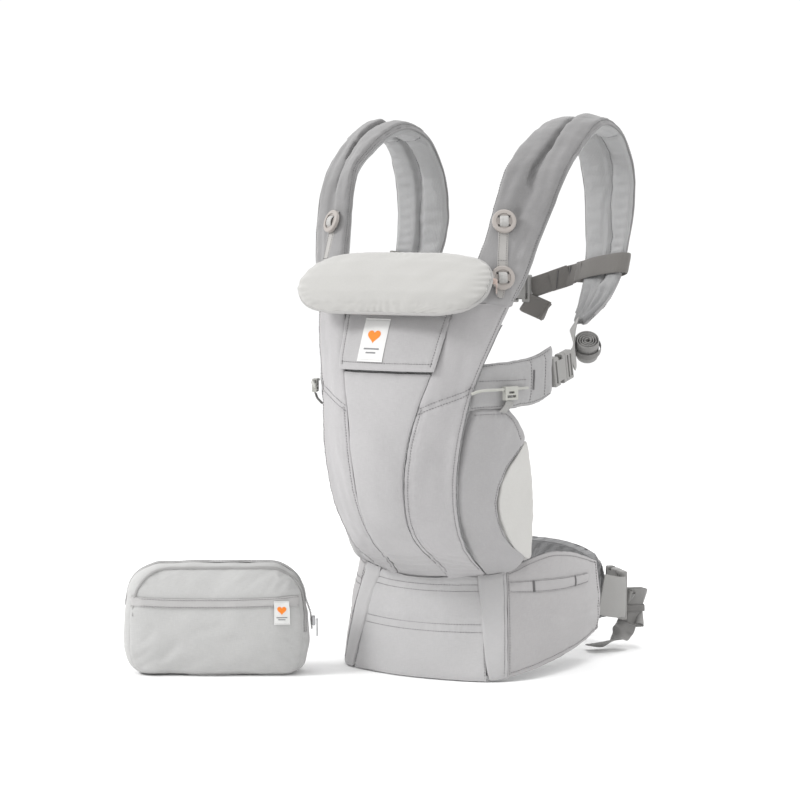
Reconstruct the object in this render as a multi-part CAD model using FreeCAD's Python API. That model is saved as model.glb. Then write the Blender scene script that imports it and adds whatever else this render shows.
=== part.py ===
"""Soft baby carrier with its zipped pouch, one STEP file per piece.

Millimetres. X is to the wearer's left, Y runs from the front panel back to the wearer,
Z is up. The origin is the middle of the waist belt's front bottom edge, on the floor.
"""
import FreeCAD, Part
import math
import os

V = FreeCAD.Vector

# ---- driving dimensions -------------------------------------------------------------
BELT_COVER = 3.0            # outer fabric of the waist belt
BELT_FOAM = 8.0
BELT_LINING = 2.5
LAYER_GAP = 0.4             # air between the layers of one pad
BELT_CROWN = 3.0            # how far the padded belt bulges outwards
HEM_HEIGHT = 2.4
PANEL_COVER = 5.0           # quilted front panels
PANEL_LINING = 7.0          # padded inside of the front panel
STRAP_LINING = 3.0
STRAP_COVER = 4.0
WEB_NARROW = 25.0           # webbing of the underarm and cross straps
WEB_WIDE = 50.0             # webbing of the waist belt
WEB_THICKNESS = 1.8
TAPE_WIDTH = 13.0
BUTTON_RADIUS = 13.5
BUTTON_HEIGHT = 5.0
ARM_THICKNESS = 12.0
LEG_THICKNESS = 12.0
PILLOW_DEPTH = 84.0         # from the hinge seam to the free edge
PILLOW_HALF_WIDTH = 120.0
PILLOW_HINGE = V(0, -27, 484)
PILLOW_LEAN = math.radians(231)     # direction of the folded pillow in the Y-Z plane
POUCH_PLACE = V(-215.5, -88, 0)
POUCH_TURN = 29.5           # degrees about Z
BUCKLE_CLEARANCE = 0.6
ZIP_WIDTH = 8.0

# ---- small helpers ------------------------------------------------------------------


def row_at(rows, t):
    """Values at t on a smooth curve through rows of (t, value, value, ...)."""
    i = 0
    while i < len(rows) - 2 and t > rows[i + 1][0]:
        i += 1
    a, b = rows[i], rows[i + 1]
    before = rows[i - 1] if i else a
    after = rows[i + 2] if i + 2 < len(rows) else b
    span = b[0] - a[0]
    s = (t - a[0]) / span
    values = []
    for k in range(1, len(a)):
        leave = (b[k] - before[k]) / (b[0] - before[0]) * span
        arrive = (after[k] - a[k]) / (after[0] - a[0]) * span
        rise = b[k] - a[k]
        values.append(a[k] + s * leave + s * s * (3 * rise - 2 * leave - arrive)
                      + s ** 3 * (leave + arrive - 2 * rise))
    return values


def steps(start, end, count):
    """Evenly spaced numbers from start to end, both included."""
    return [start + (end - start) * i / (count - 1) for i in range(count)]


def loft(sections):
    """Closed ruled solid through polygon sections that have equally many corners."""
    wires = [Part.makePolygon(list(s) + [s[0]]) for s in sections]
    solid = Part.makeLoft(wires, True, True)
    if solid.Volume < 0:
        solid.reverse()
    return solid


def mirrored(shape):
    return shape.mirror(V(0, 0, 0), V(1, 0, 0))


def ribbon(points, across, width, thickness):
    """Flat strap along points; across gives the width direction at each point."""
    sections = []
    for i, p in enumerate(points):
        a = points[max(i - 1, 0)]
        b = points[min(i + 1, len(points) - 1)]
        along = (b - a).normalize()
        side = V(across[i] if isinstance(across, list) else across)
        side = (side - along * side.dot(along)).normalize()
        normal = along.cross(side)
        w, h = side * (width / 2), normal * (thickness / 2)
        sections.append([p - w - h, p + w - h, p + w + h, p - w + h])
    return loft(sections)


def place(shape, origin, x_axis, z_hint):
    """Move a shape drawn at the origin so that its X axis points along x_axis."""
    x = V(x_axis).normalize()
    y = V(z_hint).cross(x).normalize()
    z = x.cross(y)
    moved = shape.copy()
    moved.Placement = FreeCAD.Placement(FreeCAD.Matrix(
        x.x, y.x, z.x, origin.x,
        x.y, y.y, z.y, origin.y,
        x.z, y.z, z.z, origin.z,
        0, 0, 0, 1))
    return moved


def block(x0, x1, half_y, half_z, y=0.0, z=0.0):
    """Box from x0 to x1, centred on y and z."""
    return Part.makeBox(x1 - x0, 2 * half_y, 2 * half_z, V(x0, y - half_y, z - half_z))


def save(name, shapes):
    shapes = shapes if isinstance(shapes, list) else [shapes]
    shape = shapes[0] if len(shapes) == 1 else Part.makeCompound(shapes)
    shape.exportStep("parts/" + name + ".step")


def save_pair(name, shape):
    """The wearer's left piece and its mirror image, in two nodes."""
    save(name + "_left", mirrored(shape))
    save(name + "_right", shape)


# ---- waist belt ---------------------------------------------------------------------
# rows: place along the belt, bottom edge x y z, top edge x y z (outer face)
FRONT_BELT = [
    (0, 0, -8, 0, 0, 8, 115),
    (42, 42, -4.5, 0, 33, 14.5, 116),
    (84, 84.5, 5, 0, 64, 33, 118),
]
RIGHT_BELT = [
    (84, 84.5, 5, 0, 64, 33, 118),
    (106, 106, 21, 3, 87, 45, 121),
    (142, 129, 54, 11, 112, 66, 136),
    (180, 143, 94, 19, 134, 92, 144),
    (230, 149, 142, 28, 146, 142, 133),
    (276, 149, 188, 38, 147, 186, 119),
]
LEFT_BELT = [
    (84, -84.5, 5, 0, -64, 33, 118),
    (106, -106, 21, 0, -87, 45, 121),
    (170, -129, 72, 0, -117, 80, 128),
    (235, -135, 135, 0, -128, 136, 128),
    (300, -124, 202, 0, -119, 200, 123),
    (370, -92, 260, 0, -88, 256, 122),
    (430, -38, 294, 0, -36, 290, 124),
    (490, 20, 306, 4, 19, 302, 125),
    (545, 72, 306, 16, 70, 303, 119),
    (592, 116, 292, 30, 115, 290, 104),
]


def belt_section(rows, t, inwards, near, far, trim, crown):
    """Section of one layer of the belt, between two depths from the outer face."""
    step = 0.5
    x0, y0, z0, x1, y1, z1 = row_at(rows, t)
    a, b = row_at(rows, t - step), row_at(rows, t + step)
    along = V(b[0] + b[3] - a[0] - a[3], b[1] + b[4] - a[1] - a[4], 0).normalize()
    inner = V(-along.y, along.x, 0) * inwards
    bottom, top = V(x0, y0, max(z0, 0)), V(x1, y1, z1)
    rise = top - bottom
    cut = trim / rise.Length
    heights = steps(cut, 1 - cut, 6)
    bulge = [4 * crown * h * (1 - h) for h in heights]
    outer_line = [bottom + rise * h + inner * (near - g) for h, g in zip(heights, bulge)]
    inner_line = [bottom + rise * h + inner * (far - g) for h, g in zip(heights, bulge)]
    return outer_line + inner_line[::-1]


def belt_layer(rows, start, end, count, inwards, near, far, trim=0.0):
    crown = BELT_CROWN
    return loft([belt_section(rows, t, inwards, near, far, trim, crown)
                 for t in steps(start, end, count)])


def front_hem(rows, start, end, count, near, far):
    """Flat fabric strip that closes the bottom of the front panel; the belt rests on it."""
    outer_line, inner_line = [], []
    for t in steps(start, end, count):
        x0, y0 = row_at(rows, t)[:2]
        a, b = row_at(rows, t - 0.5), row_at(rows, t + 0.5)
        along = V(b[0] - a[0], b[1] - a[1], 0).normalize()
        inner = V(-along.y, along.x, 0)
        outer_line.append(V(x0, y0, 0) + inner * near)
        inner_line.append(V(x0, y0, 0) + inner * far)
    outline = outer_line + inner_line[::-1]
    return Part.Face(Part.makePolygon(outline + outline[:1])).extrude(V(0, 0, HEM_HEIGHT))


def side_hem(rows, start, end, count, inwards, near, far):
    """Fabric strip that closes the bottom of one belt wing, along its rising edge."""
    sections = []
    for t in steps(start, end, count):
        x0, y0, z0, x1, y1, z1 = row_at(rows, t)
        a, b = row_at(rows, t - 0.5), row_at(rows, t + 0.5)
        along = V(b[0] + b[3] - a[0] - a[3], b[1] + b[4] - a[1] - a[4], 0).normalize()
        inner = V(-along.y, along.x, 0) * inwards
        bottom = V(x0, y0, max(z0, 0))
        rise = (V(x1, y1, z1) - bottom).normalize() * HEM_HEIGHT
        sections.append([bottom + inner * near, bottom + inner * far,
                         bottom + inner * far + rise, bottom + inner * near + rise])
    return loft(sections)


def front_rows():
    """The front panel from its left band to its right band, t from -84 to 84."""
    left = [(-t, -x0, y0, z0, -x1, y1, z1) for t, x0, y0, z0, x1, y1, z1 in FRONT_BELT[:0:-1]]
    return left + FRONT_BELT


def make_belt():
    seam = 0.6
    foam_near = BELT_COVER + LAYER_GAP
    foam_far = foam_near + BELT_FOAM
    lining_near = foam_far + LAYER_GAP
    lining_far = lining_near + BELT_LINING
    band = (84.0, 107.0)
    front = front_rows()
    save("belt_front_panel", belt_layer(front, -84 + seam, 84 - seam, 13, 1, 0, BELT_COVER))
    right_band = belt_layer(RIGHT_BELT, band[0] + seam, band[1], 5, 1, -1.2, BELT_COVER)
    left_band = belt_layer(LEFT_BELT, band[0] + seam, band[1], 5, -1, -1.2, BELT_COVER)
    save("belt_side_bands", [left_band, right_band])
    save("belt_wing_right",
         belt_layer(RIGHT_BELT, band[1] + seam, 276, 13, 1, 0, BELT_COVER))
    save("belt_wing_left",
         belt_layer(LEFT_BELT, band[1] + seam, 592, 27, -1, 0, BELT_COVER))
    foam_ends = 8.0
    save("belt_foam", [
        belt_layer(front, -84 + seam, 84 - seam, 13, 1, foam_near, foam_far, 3),
        belt_layer(RIGHT_BELT, 84 + seam, 276 - foam_ends, 14, 1, foam_near, foam_far, 3),
        belt_layer(LEFT_BELT, 84 + seam, 592 - foam_ends, 28, -1, foam_near, foam_far, 3)])
    hem_near = BELT_COVER + 0.6
    save("belt_lining", [
        belt_layer(front, -84 + seam, 84 - seam, 13, 1, lining_near, lining_far, 3),
        belt_layer(RIGHT_BELT, 84 + seam, 276, 14, 1, lining_near, lining_far, 3),
        belt_layer(LEFT_BELT, 84 + seam, 592, 28, -1, lining_near, lining_far, 3),
        front_hem(front, -84 + seam, 84 - seam, 14, hem_near, lining_far),
        side_hem(RIGHT_BELT, 84 + seam, 276, 14, 1, hem_near, lining_far),
        side_hem(LEFT_BELT, 84 + seam, 592, 28, -1, hem_near, lining_far)])


# ---- front panel --------------------------------------------------------------------
# rows: z, seam x y, outer edge x y, y of the middle (all on the outside of the fabric)
BODY = [
    (119.5, 34, 20, 70, 44, 14),
    (142, 30, -23, 74, -6, -30),
    (174, 27, -64.5, 76, -38, -70),
    (215, 30, -87, 80, -58, -93),
    (262, 34.5, -92.5, 85, -64, -99),
    (314, 44.6, -83.5, 92, -56, -92),
    (357, 56, -69, 102, -44, -77),
    (408, 66, -50, 117, -22, -59),
    (428, 69.5, -45, 122, -12, -51),
]
POCKET = [
    (357, 56, -76, -84),
    (380, 59, -66, -74),
    (411, 62, -50, -59),
    (430, 64, -38, -46),
    (455, 66, -26, -31),
    (472, 68, -21, -26),
]


def front_curve(z, from_x, to_x, count, shift=0.0):
    """Points across the front at one height; shift moves them back."""
    xs, ys, xe, ye, yc = row_at(BODY, z)
    across = [(-xe, ye), (-xs, ys), (0, yc), (xs, ys), (xe, ye)]
    rows = [(x, y) for x, y in across]
    return [V(x, row_at(rows, x)[0] + shift, z) for x in steps(from_x, to_x, count)]


def panel_between(z0, z1, count, x_from, x_to, points, near, far):
    """Panel whose side edges are functions of the height."""
    sections = []
    for z in steps(z0, z1, count):
        front = front_curve(z, x_from(z), x_to(z), points, near)
        back = front_curve(z, x_from(z), x_to(z), points, far)
        sections.append(front + back[::-1])
    return loft(sections)


def make_front_panel():
    seam = 0.5
    bottom, pocket_top, side_top = 119.5, 408, 428
    seam_x = lambda z: row_at(BODY, z)[0]
    edge_x = lambda z: row_at(BODY, z)[2]
    save("body_centre_panel", panel_between(
        bottom, 354, 16, lambda z: -seam_x(z) + seam, lambda z: seam_x(z) - seam,
        9, 0, PANEL_COVER))
    save_pair("body_side_panel", panel_between(
        bottom, side_top, 19, lambda z: seam_x(z) + seam, edge_x, 7, 0, PANEL_COVER))
    near = PANEL_COVER + LAYER_GAP
    lining = panel_between(bottom, pocket_top, 18, lambda z: -edge_x(z) + 1, lambda z: edge_x(z) - 1,
                           15, near, near + PANEL_LINING)

    sections = []
    pocket_thickness = 4.0
    for z in steps(357, 472, 9):
        half, ys, yc = row_at(POCKET, z)
        rows = [(-half, ys), (0, yc), (half, ys)]
        front = [V(x, row_at(rows, x)[0], z) for x in steps(-half, half, 9)]
        back = [p + V(0, pocket_thickness, 0) for p in front]
        sections.append(front + back[::-1])
    save("top_pocket_panel", loft(sections))

    neck = []
    for z in steps(409, 470, 5):
        half, ys, yc = row_at(POCKET, z)
        half -= 1
        rows = [(-half, ys), (0, yc), (half, ys)]
        start = pocket_thickness + LAYER_GAP
        front = [V(x, row_at(rows, x)[0] + start, z) for x in steps(-half, half, 9)]
        back = [p + V(0, 9, 0) for p in front]
        neck.append(front + back[::-1])
    save("body_lining", [lining, loft(neck)])

    label = []
    for z in steps(366, 414, 5):
        half, ys, yc = row_at(POCKET, z)
        rows = [(-half, ys), (0, yc), (half, ys)]
        front = [V(x, row_at(rows, x)[0] - 1.2, z) for x in steps(-36, 0, 5)]
        back = [p + V(0, 0.9, 0) for p in front]
        label.append(front + back[::-1])
    save("front_label", loft(label))


# ---- leg panels and thigh pads ------------------------------------------------------
# rows: z, front end x y, outer end x y
LEG = [
    (126, 70, 62, 108, 62),
    (142, 72, 22, 111, 62),
    (164, 73, -6, 115, 62),
    (198, 76, -32, 116, 60),
    (235, 80, -42, 117, 52),
    (265, 84, -40, 117, 43),
    (292, 88, -34, 116, 28),
    (316, 94, -26, 106, 8),
]
# rows: z, share of the panel's width that is grey leg panel, the rest is thigh pad
THIGH_LINE = [(146, 0.98), (150, 0.81), (156, 0.62), (168, 0.5), (187, 0.44), (212, 0.43),
              (230, 0.48), (248, 0.61), (262, 0.78), (275, 0.97)]


def leg_section(z, start, end, thickness, count=7):
    """Horizontal section of the leg panel between two shares of its width."""
    xf, yf, xo, yo = row_at(LEG, z)
    front, outer = V(xf, yf, z), V(xo, yo, z)
    along = outer - front
    side = V(along.y, -along.x, 0).normalize()
    bow = 7.0
    shares = steps(start, end, count)
    middle = [front + along * s + side * (4 * bow * s * (1 - s)) for s in shares]
    half = side * (thickness / 2)
    return [p + half for p in middle] + [p - half for p in middle[::-1]]


def thigh_share(z):
    if z <= THIGH_LINE[0][0] or z >= THIGH_LINE[-1][0]:
        return 1.0
    return row_at(THIGH_LINE, z)[0]


def make_leg_panels():
    gap = 0.015
    heights = [126, 134, 145, 150, 156, 168, 187, 200, 212, 230, 248, 262, 276, 292, 305, 316]
    bottom_share = {126: 0.3, 134: 0.72, 145: 0.97}
    leg = loft([leg_section(z, 0.02, bottom_share.get(z, thigh_share(z)) - gap, LEG_THICKNESS)
                for z in heights])
    pad_heights = [147, 150, 156, 168, 187, 200, 212, 230, 248, 262, 274]
    pad = loft([leg_section(z, thigh_share(z), 1.03, LEG_THICKNESS - 1) for z in pad_heights])
    save_pair("leg_panel", leg)
    save_pair("thigh_pad", pad)


# ---- underarm wing, seat rail and hook ----------------------------------------------
# rows: place along the wing, middle x y, bottom z, top z
WING = [
    (0, 104, -32, 318, 364),
    (26, 115, -8, 320, 367),
    (51, 124, 15, 321, 369),
    (78, 132, 38, 323, 373),
    (100, 138, 60, 331, 381),
]
RAIL_START = V(115.5, -36, 337)
RAIL_END = V(134.5, 11, 337)
RAIL_RADIUS = 1.6
HOOK_PLACE = 24.0
HOOK_LENGTH = 19.0


def make_underarm_wing():
    sections = []
    for t in steps(0, 100, 9):
        x, y, low, high = row_at(WING, t)
        a, b = row_at(WING, t - 1), row_at(WING, t + 1)
        along = V(b[0] - a[0], b[1] - a[1], 0).normalize()
        out = V(along.y, -along.x, 0)
        middle = V(x, y, 0)
        half = ARM_THICKNESS / 2
        shape = [(low, 0.25), (low + 5, 0.9), ((low + high) / 2, 1.0), (high - 5, 0.9),
                 (high, 0.25)]
        front = [middle + V(0, 0, z) + out * (half * f) for z, f in shape]
        back = [middle + V(0, 0, z) - out * (half * f) for z, f in shape]
        sections.append(front + back[::-1])
    save_pair("underarm_wing", loft(sections))


def make_seat_adjuster():
    along = (RAIL_END - RAIL_START)
    length = along.Length
    along.normalize()
    out = V(along.y, -along.x, 0)
    rail = Part.makeCylinder(RAIL_RADIUS, length, RAIL_START, along)
    save("seat_rails", [rail, mirrored(rail)])

    half = HOOK_LENGTH / 2
    hook = block(-half, half, 7.5, 2.6, y=-4.5)
    bore = Part.makeCylinder(RAIL_RADIUS + 0.5, HOOK_LENGTH + 2, V(-half - 1, 0, 0), V(1, 0, 0))
    slot = block(-6.5, 6.5, 1.4, 4, y=-8)
    mouth = block(-4, 4, 1.2, 4, y=-3.6)
    hook = hook.cut(bore).cut(slot).cut(mouth)
    hook = place(hook, RAIL_START + along * HOOK_PLACE, along, out)
    save_pair("seat_hook", hook)

    top = RAIL_START + along * HOOK_PLACE + V(0, 0, -14)
    foot = top + V(-9.5, 0, -12)
    tab = ribbon([top, (top + foot) * 0.5 + out * 1.5, foot], along, 13, 1.5)
    save_pair("seat_tab", tab)


# ---- buckles ------------------------------------------------------------------------


def buckle_socket(half_width, length):
    """Side-release socket; the plug enters from +X. Its sewing bar is at the -X end."""
    body = block(-length, 0, half_width, 5)
    body = body.makeFillet(2.0, body.Edges)
    cavity = block(-length + 8, 1, half_width - 3, 3)
    window = block(-length + 10, -length + 19, 5, 6, y=half_width)
    other = block(-length + 10, -length + 19, 5, 6, y=-half_width)
    slot = block(-length + 2.2, -length + 5.6, half_width - 4, 6)
    return body.cut(cavity).cut(window).cut(other).cut(slot)


def buckle_plug(half_width, length):
    """Plug with two spring prongs, a guide and the ladder bars that hold the webbing."""
    base = block(BUCKLE_CLEARANCE, 17, half_width, 4.5)
    base = base.makeFillet(2.0, base.Edges)
    for x in (4.2, 10.6):
        base = base.cut(block(x, x + 3.2, half_width - 4, 6))
    tip = -length + 8 + BUCKLE_CLEARANCE
    inner_half = half_width - 3 - BUCKLE_CLEARANCE
    for side in (1, -1):
        prong = block(tip, 1.5, 1.5, 2.2, y=side * (inner_half - 4))
        knob = block(tip + 1, tip + 8, 2.75, 2.2, y=side * (inner_half - 2.75))
        base = base.fuse(prong).fuse(knob)
    base = base.fuse(block(tip + 6, 1.5, 2.2, 2.2))
    return base.removeSplitter()


UNDERARM_START = V(139.5, 64, 350)
UNDERARM_AXIS = V(0.10, 0.97, 0.21).normalize()
UNDERARM_OUT = V(0.97, -0.10, 0)
STRAP_TIP = V(128, 161, 395)
NARROW_HALF = 17.0
NARROW_SOCKET = 26.0


def make_underarm_buckles():
    mouth = UNDERARM_START + UNDERARM_AXIS * NARROW_SOCKET
    socket = place(buckle_socket(NARROW_HALF, NARROW_SOCKET), mouth, UNDERARM_AXIS,
                   UNDERARM_OUT)
    plug = place(buckle_plug(NARROW_HALF, NARROW_SOCKET), mouth, UNDERARM_AXIS, UNDERARM_OUT)
    save_pair("underarm_buckle_socket", socket)
    save_pair("underarm_buckle_plug", plug)

    end = mouth + UNDERARM_AXIS * 21.5
    width_dir = V(0.1, -0.4, 0.9)
    web = ribbon([end, end + V(-2, 12, 6), STRAP_TIP + V(3, -14, -12), STRAP_TIP + V(1, -5, -3)],
                 [UNDERARM_AXIS.cross(UNDERARM_OUT), V(0, -0.3, 0.95), width_dir,
                  V(0.4, -0.6, 0.7)], WEB_NARROW, WEB_THICKNESS)
    save_pair("underarm_webbing", web)

    roll_base = V(146, 150, 363)
    roll_axis = V(0.12, -0.25, 0.96)
    roll = Part.makeCylinder(11.0, WEB_NARROW, roll_base, roll_axis)
    keeper_ring = Part.makeCylinder(12.4, 9, roll_base + roll_axis.normalize() * 8, roll_axis)
    keeper = keeper_ring.cut(Part.makeCylinder(11.2, 60, roll_base - roll_axis * 20, roll_axis))
    save_pair("underarm_web_roll", roll)
    save_pair("underarm_roll_keeper", keeper)


# ---- shoulder straps ----------------------------------------------------------------
# rows: place along the strap, inner edge x y z, outer edge x y z, half thickness
STRAP = [
    (0, 69, -43, 428, 122, -8, 428, 7.0),
    (35, 77, -28, 457, 132, 10, 457, 8.5),
    (70, 85, -10, 489, 140, 21, 489, 9.0),
    (105, 89, 4, 523, 148, 38, 523, 9.0),
    (142, 93, 18, 557, 154, 57, 557, 9.0),
    (172, 95, 32, 583, 157, 81, 584, 9.0),
    (210, 96, 68, 606, 159, 116, 610, 9.0),
    (255, 96, 116, 626, 160, 150, 630, 9.0),
    (300, 96, 165, 635, 160, 183, 635, 9.0),
    (344, 95, 212, 625, 161, 221, 624, 9.0),
    (380, 94, 243, 601, 162, 245, 600, 9.0),
    (418, 93, 263, 567, 162, 257, 566, 9.0),
    (455, 93, 269, 529, 160, 256, 529, 9.0),
    (497, 97, 263, 488, 157, 247, 488, 8.5),
    (540, 103, 242, 449, 155, 226, 451, 7.5),
    (574, 110, 208, 421, 149, 190, 421, 6.0),
    (600, 120, 171, 400, 136, 160, 399, 4.0),
]
STRAP_END = 600.0


def strap_frame(t):
    """Inner edge, vector across and outward normal of the strap at one place."""
    values = row_at(STRAP, t)
    inner, outer = V(*values[0:3]), V(*values[3:6])
    a, b = row_at(STRAP, t - 2), row_at(STRAP, t + 2)
    along = V(b[0] + b[3] - a[0] - a[3], b[1] + b[4] - a[1] - a[4],
              b[2] + b[5] - a[2] - a[5]).normalize()
    across = outer - inner
    normal = across.cross(along).normalize()
    return inner, across, normal, values[6]


def strap_point(t, share, height):
    inner, across, normal, _ = strap_frame(t)
    return inner + across * share + normal * height


# outline of the padded strap: share of the width, share of the half thickness
LOBES = [(0.0, 0.15), (0.05, 0.7), (0.22, 1.0), (0.42, 0.85), (0.5, 0.6), (0.58, 0.85),
         (0.78, 1.0), (0.95, 0.7), (1.0, 0.15)]


def strap_layer(start, end, count, top, bottom, inset=0.0):
    """Layer between two surfaces given as functions of (share of thickness, half)."""
    sections = []
    for t in steps(start, end, count):
        inner, across, normal, half = strap_frame(t)
        upper, lower = [], []
        for share, puff in LOBES:
            s = min(max(share, inset), 1 - inset)
            base = inner + across * s
            upper.append(base + normal * top(puff, half))
            lower.append(base + normal * bottom(puff, half))
        sections.append(upper + lower[::-1])
    return loft(sections)


def make_straps():
    count = 41
    cover = strap_layer(4, STRAP_END, count,
                        lambda p, h: h * p,
                        lambda p, h: max((h - STRAP_COVER) * p, 0.0) - 0.8)
    lining = strap_layer(4, STRAP_END, count,
                         lambda p, h: -(h - STRAP_LINING) * p - 1.3,
                         lambda p, h: -h * p - 1.5)
    foam = strap_layer(10, STRAP_END - 30, 37,
                       lambda p, h: max((h - STRAP_COVER) * p, 0.0) * 0.95 - 1.1,
                       lambda p, h: -(h - STRAP_LINING) * p * 0.9 - 1.15, 0.03)
    save_pair("strap_cover", cover)
    save_pair("strap_lining", lining)
    save("strap_foam", [mirrored(foam), foam])


def make_strap_buttons():
    # rows: place along the strap, share of the width
    line = [(8, 0.70), (34, 0.58), (68, 0.40), (99, 0.26), (113, 0.21)]
    lift = 10.0
    points, sides = [], []
    for t in steps(8, 113, 9):
        share = row_at(line, t)[0]
        points.append(strap_point(t, share, lift))
        sides.append(strap_frame(t)[1])
    tape = ribbon(points, sides, TAPE_WIDTH, 1.2)
    save("button_tapes", [mirrored(tape), tape])

    buttons = []
    for t, share in ((34, 0.58), (99, 0.26)):
        inner, across, normal, _ = strap_frame(t)
        base = strap_point(t, share, lift + 1.2)
        ring = Part.makeCylinder(BUTTON_RADIUS, BUTTON_HEIGHT, V(0, 0, 0))
        ring = ring.makeFillet(1.6, [e for e in ring.Edges if e.Closed])
        for y in (-5.2, 5.2):
            ring = ring.cut(block(-7, 7, 1.3, 8, y=y))
        dish = Part.makeCylinder(BUTTON_RADIUS - 4.5, 2.0, V(0, 0, BUTTON_HEIGHT - 1.2))
        ring = place(ring.cut(dish), base, across, normal)
        buttons += [mirrored(ring), ring]
    save("strap_buttons", buttons)


# ---- head pillow --------------------------------------------------------------------


def pillow_point(x, s, height):
    """Point at distance s from the hinge and at a height off the pillow's middle plane."""
    y, z = math.cos(PILLOW_LEAN), math.sin(PILLOW_LEAN)
    return V(x, PILLOW_HINGE.y + s * y + height * z, PILLOW_HINGE.z + s * z - height * y)


def pillow_layer(top, bottom, inset):
    """Layer of the pillow; top and bottom give heights from the swell of the place."""
    sections = []
    limit = PILLOW_HALF_WIDTH - inset
    for x in [limit * math.sin(math.radians(a)) for a in steps(-84, 84, 21)]:
        end = 1 - (abs(x) / PILLOW_HALF_WIDTH) ** 5
        middle = 40 + 2 * (x / PILLOW_HALF_WIDTH) ** 2
        reach = (PILLOW_DEPTH / 2 - inset) * math.sqrt(max(end, 0.06))
        upper, lower = [], []
        for u in (-1, -0.85, -0.5, 0, 0.5, 0.85, 1):
            swell = math.sqrt(1 - u * u) * math.sqrt(max(end, 0.06))
            upper.append(pillow_point(x, middle + reach * u, top(swell)))
            lower.append(pillow_point(x, middle + reach * u, bottom(swell)))
        sections.append(upper + lower[::-1])
    return loft(sections)


def make_pillow():
    save("head_pillow_cover", pillow_layer(lambda s: 1.0 + 14 * s, lambda s: 0.3 + 9 * s, 0))
    save("head_pillow_foam", pillow_layer(lambda s: 9 * s - 0.1, lambda s: -7 * s, 4))
    save("head_pillow_back", pillow_layer(lambda s: -0.4 - 7 * s, lambda s: -1.2 - 10 * s, 0))
    start = pillow_point(122, 34, -2)
    end = strap_point(15, 0.60, 14)
    loop = ribbon([start, (start + end) * 0.5 + V(1, 0, -2), end], V(0, 0, 1), 6, 1.4)
    save("pillow_loops", [mirrored(loop), loop])


# ---- cross strap --------------------------------------------------------------------
CROSS_PLACE = 518.0         # place of the cross strap along the shoulder strap
CROSS_SOCKET = 24.0
CROSS_MIDDLE = V(4, 252, 439)


def make_cross_strap():
    inner, across, normal, half = strap_frame(CROSS_PLACE)
    along = across.cross(normal).normalize()
    clear = 8.5
    width = across.Length
    out_line = [(-clear, -half * 0.4), (width * 0.08, half + clear), (width * 0.5, half + clear + 1),
                (width * 0.92, half + clear), (width + clear, -half * 0.2),
                (width * 0.92, -half - clear - 1), (width * 0.5, -half - clear - 2),
                (width * 0.08, -half - clear - 1)]
    unit = V(across).normalize()
    outside, inside = [], []
    for w, h in out_line:
        point = inner + unit * w + normal * h
        centre = inner + unit * (width / 2)
        shrink = (centre - point).normalize() * WEB_THICKNESS
        outside.append(point)
        inside.append(point + shrink)
    height = along * (WEB_NARROW / 2)
    ring_out = loft([[p - height for p in outside], [p + height for p in outside]])
    ring_in = loft([[p - height * 1.2 for p in inside], [p + height * 1.2 for p in inside]])
    loop = ring_out.cut(ring_in)
    loops = [mirrored(loop), loop]
    save("cross_strap_loops", loops)

    start = inner + unit * (-clear - 0.4) + normal * (-half * 0.4) - V(0, 0, 6)
    middle_right = CROSS_MIDDLE + V(CROSS_SOCKET + 5, 0, 1.5)
    route = [start, V(74, 255, 455), V(50, 254, 447), middle_right]
    save("cross_strap_web_right", ribbon(route, V(0.1, 0, 1), WEB_NARROW, WEB_THICKNESS))
    plug_end = CROSS_MIDDLE - V(20.5, 0, 0)
    start_left = V(-start.x, start.y, start.z)
    route = [start_left, V(-74, 255, 455), V(-50, 254, 447), plug_end + V(0, 0, 1)]
    save("cross_strap_web_left", ribbon(route, V(-0.1, 0, 1), WEB_NARROW, WEB_THICKNESS))

    axis, back = V(-1, 0, 0), V(0, 1, 0)
    save("cross_buckle_socket",
         place(buckle_socket(NARROW_HALF, CROSS_SOCKET), CROSS_MIDDLE, axis, back))
    save("cross_buckle_plug",
         place(buckle_plug(NARROW_HALF, CROSS_SOCKET), CROSS_MIDDLE, axis, back))
    pack = block(-13, 13, 5.5, 13)
    pack = pack.makeFillet(3.0, [e for e in pack.Edges if e.Length > 20])
    save("cross_strap_pack", place(pack, V(45, 254, 412), V(0.86, 0, -0.5), V(0.5, 0, 0.86)))


# ---- waist webbing and buckle -------------------------------------------------------
WIDE_HALF = 30.0
WIDE_SOCKET = 34.0
WAIST_START = V(120, 287, 67)
WAIST_AXIS = V(0.69, -0.72, 0).normalize()


def make_waist_buckle():
    mouth = WAIST_START + WAIST_AXIS * WIDE_SOCKET
    out = V(0.72, 0.69, 0)
    save("waist_buckle_socket", place(buckle_socket(WIDE_HALF, WIDE_SOCKET), mouth,
                                      WAIST_AXIS, out))
    save("waist_buckle_plug", place(buckle_plug(WIDE_HALF, WIDE_SOCKET), mouth,
                                    WAIST_AXIS, out))
    end = mouth + WAIST_AXIS * 20
    web = ribbon([end, V(160, 238, 68), V(157, 217, 71), V(148, 195, 77)], V(0, 0, 1),
                 WEB_WIDE, WEB_THICKNESS)
    tail = ribbon([V(155, 260, 30), V(149, 251, 20), V(136, 238, 9), V(119, 222, 7)],
                  [V(0.7, 0.3, 0.5), V(0.6, 0.5, 0.4), V(0.5, -0.6, 0.3), V(0.5, -0.8, 0.2)],
                  26, WEB_THICKNESS)
    save("waist_webbing", web)
    pack = block(-11, 11, 7, 25)
    pack = pack.makeFillet(4.0, [e for e in pack.Edges if e.Length > 45])
    across = V(0.8, 0.6, 0)
    centre = V(157, 277, 49)
    save("waist_web_end", [place(pack, centre, across, V(-0.05, 0, 1)), tail])
    ring = block(-12.6, 12.6, 8.6, 4).cut(block(-11.6, 11.6, 7.6, 6))
    save("waist_pack_keeper", place(ring, centre, across, V(-0.05, 0, 1)))


# ---- zipped pouch -------------------------------------------------------------------


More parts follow.
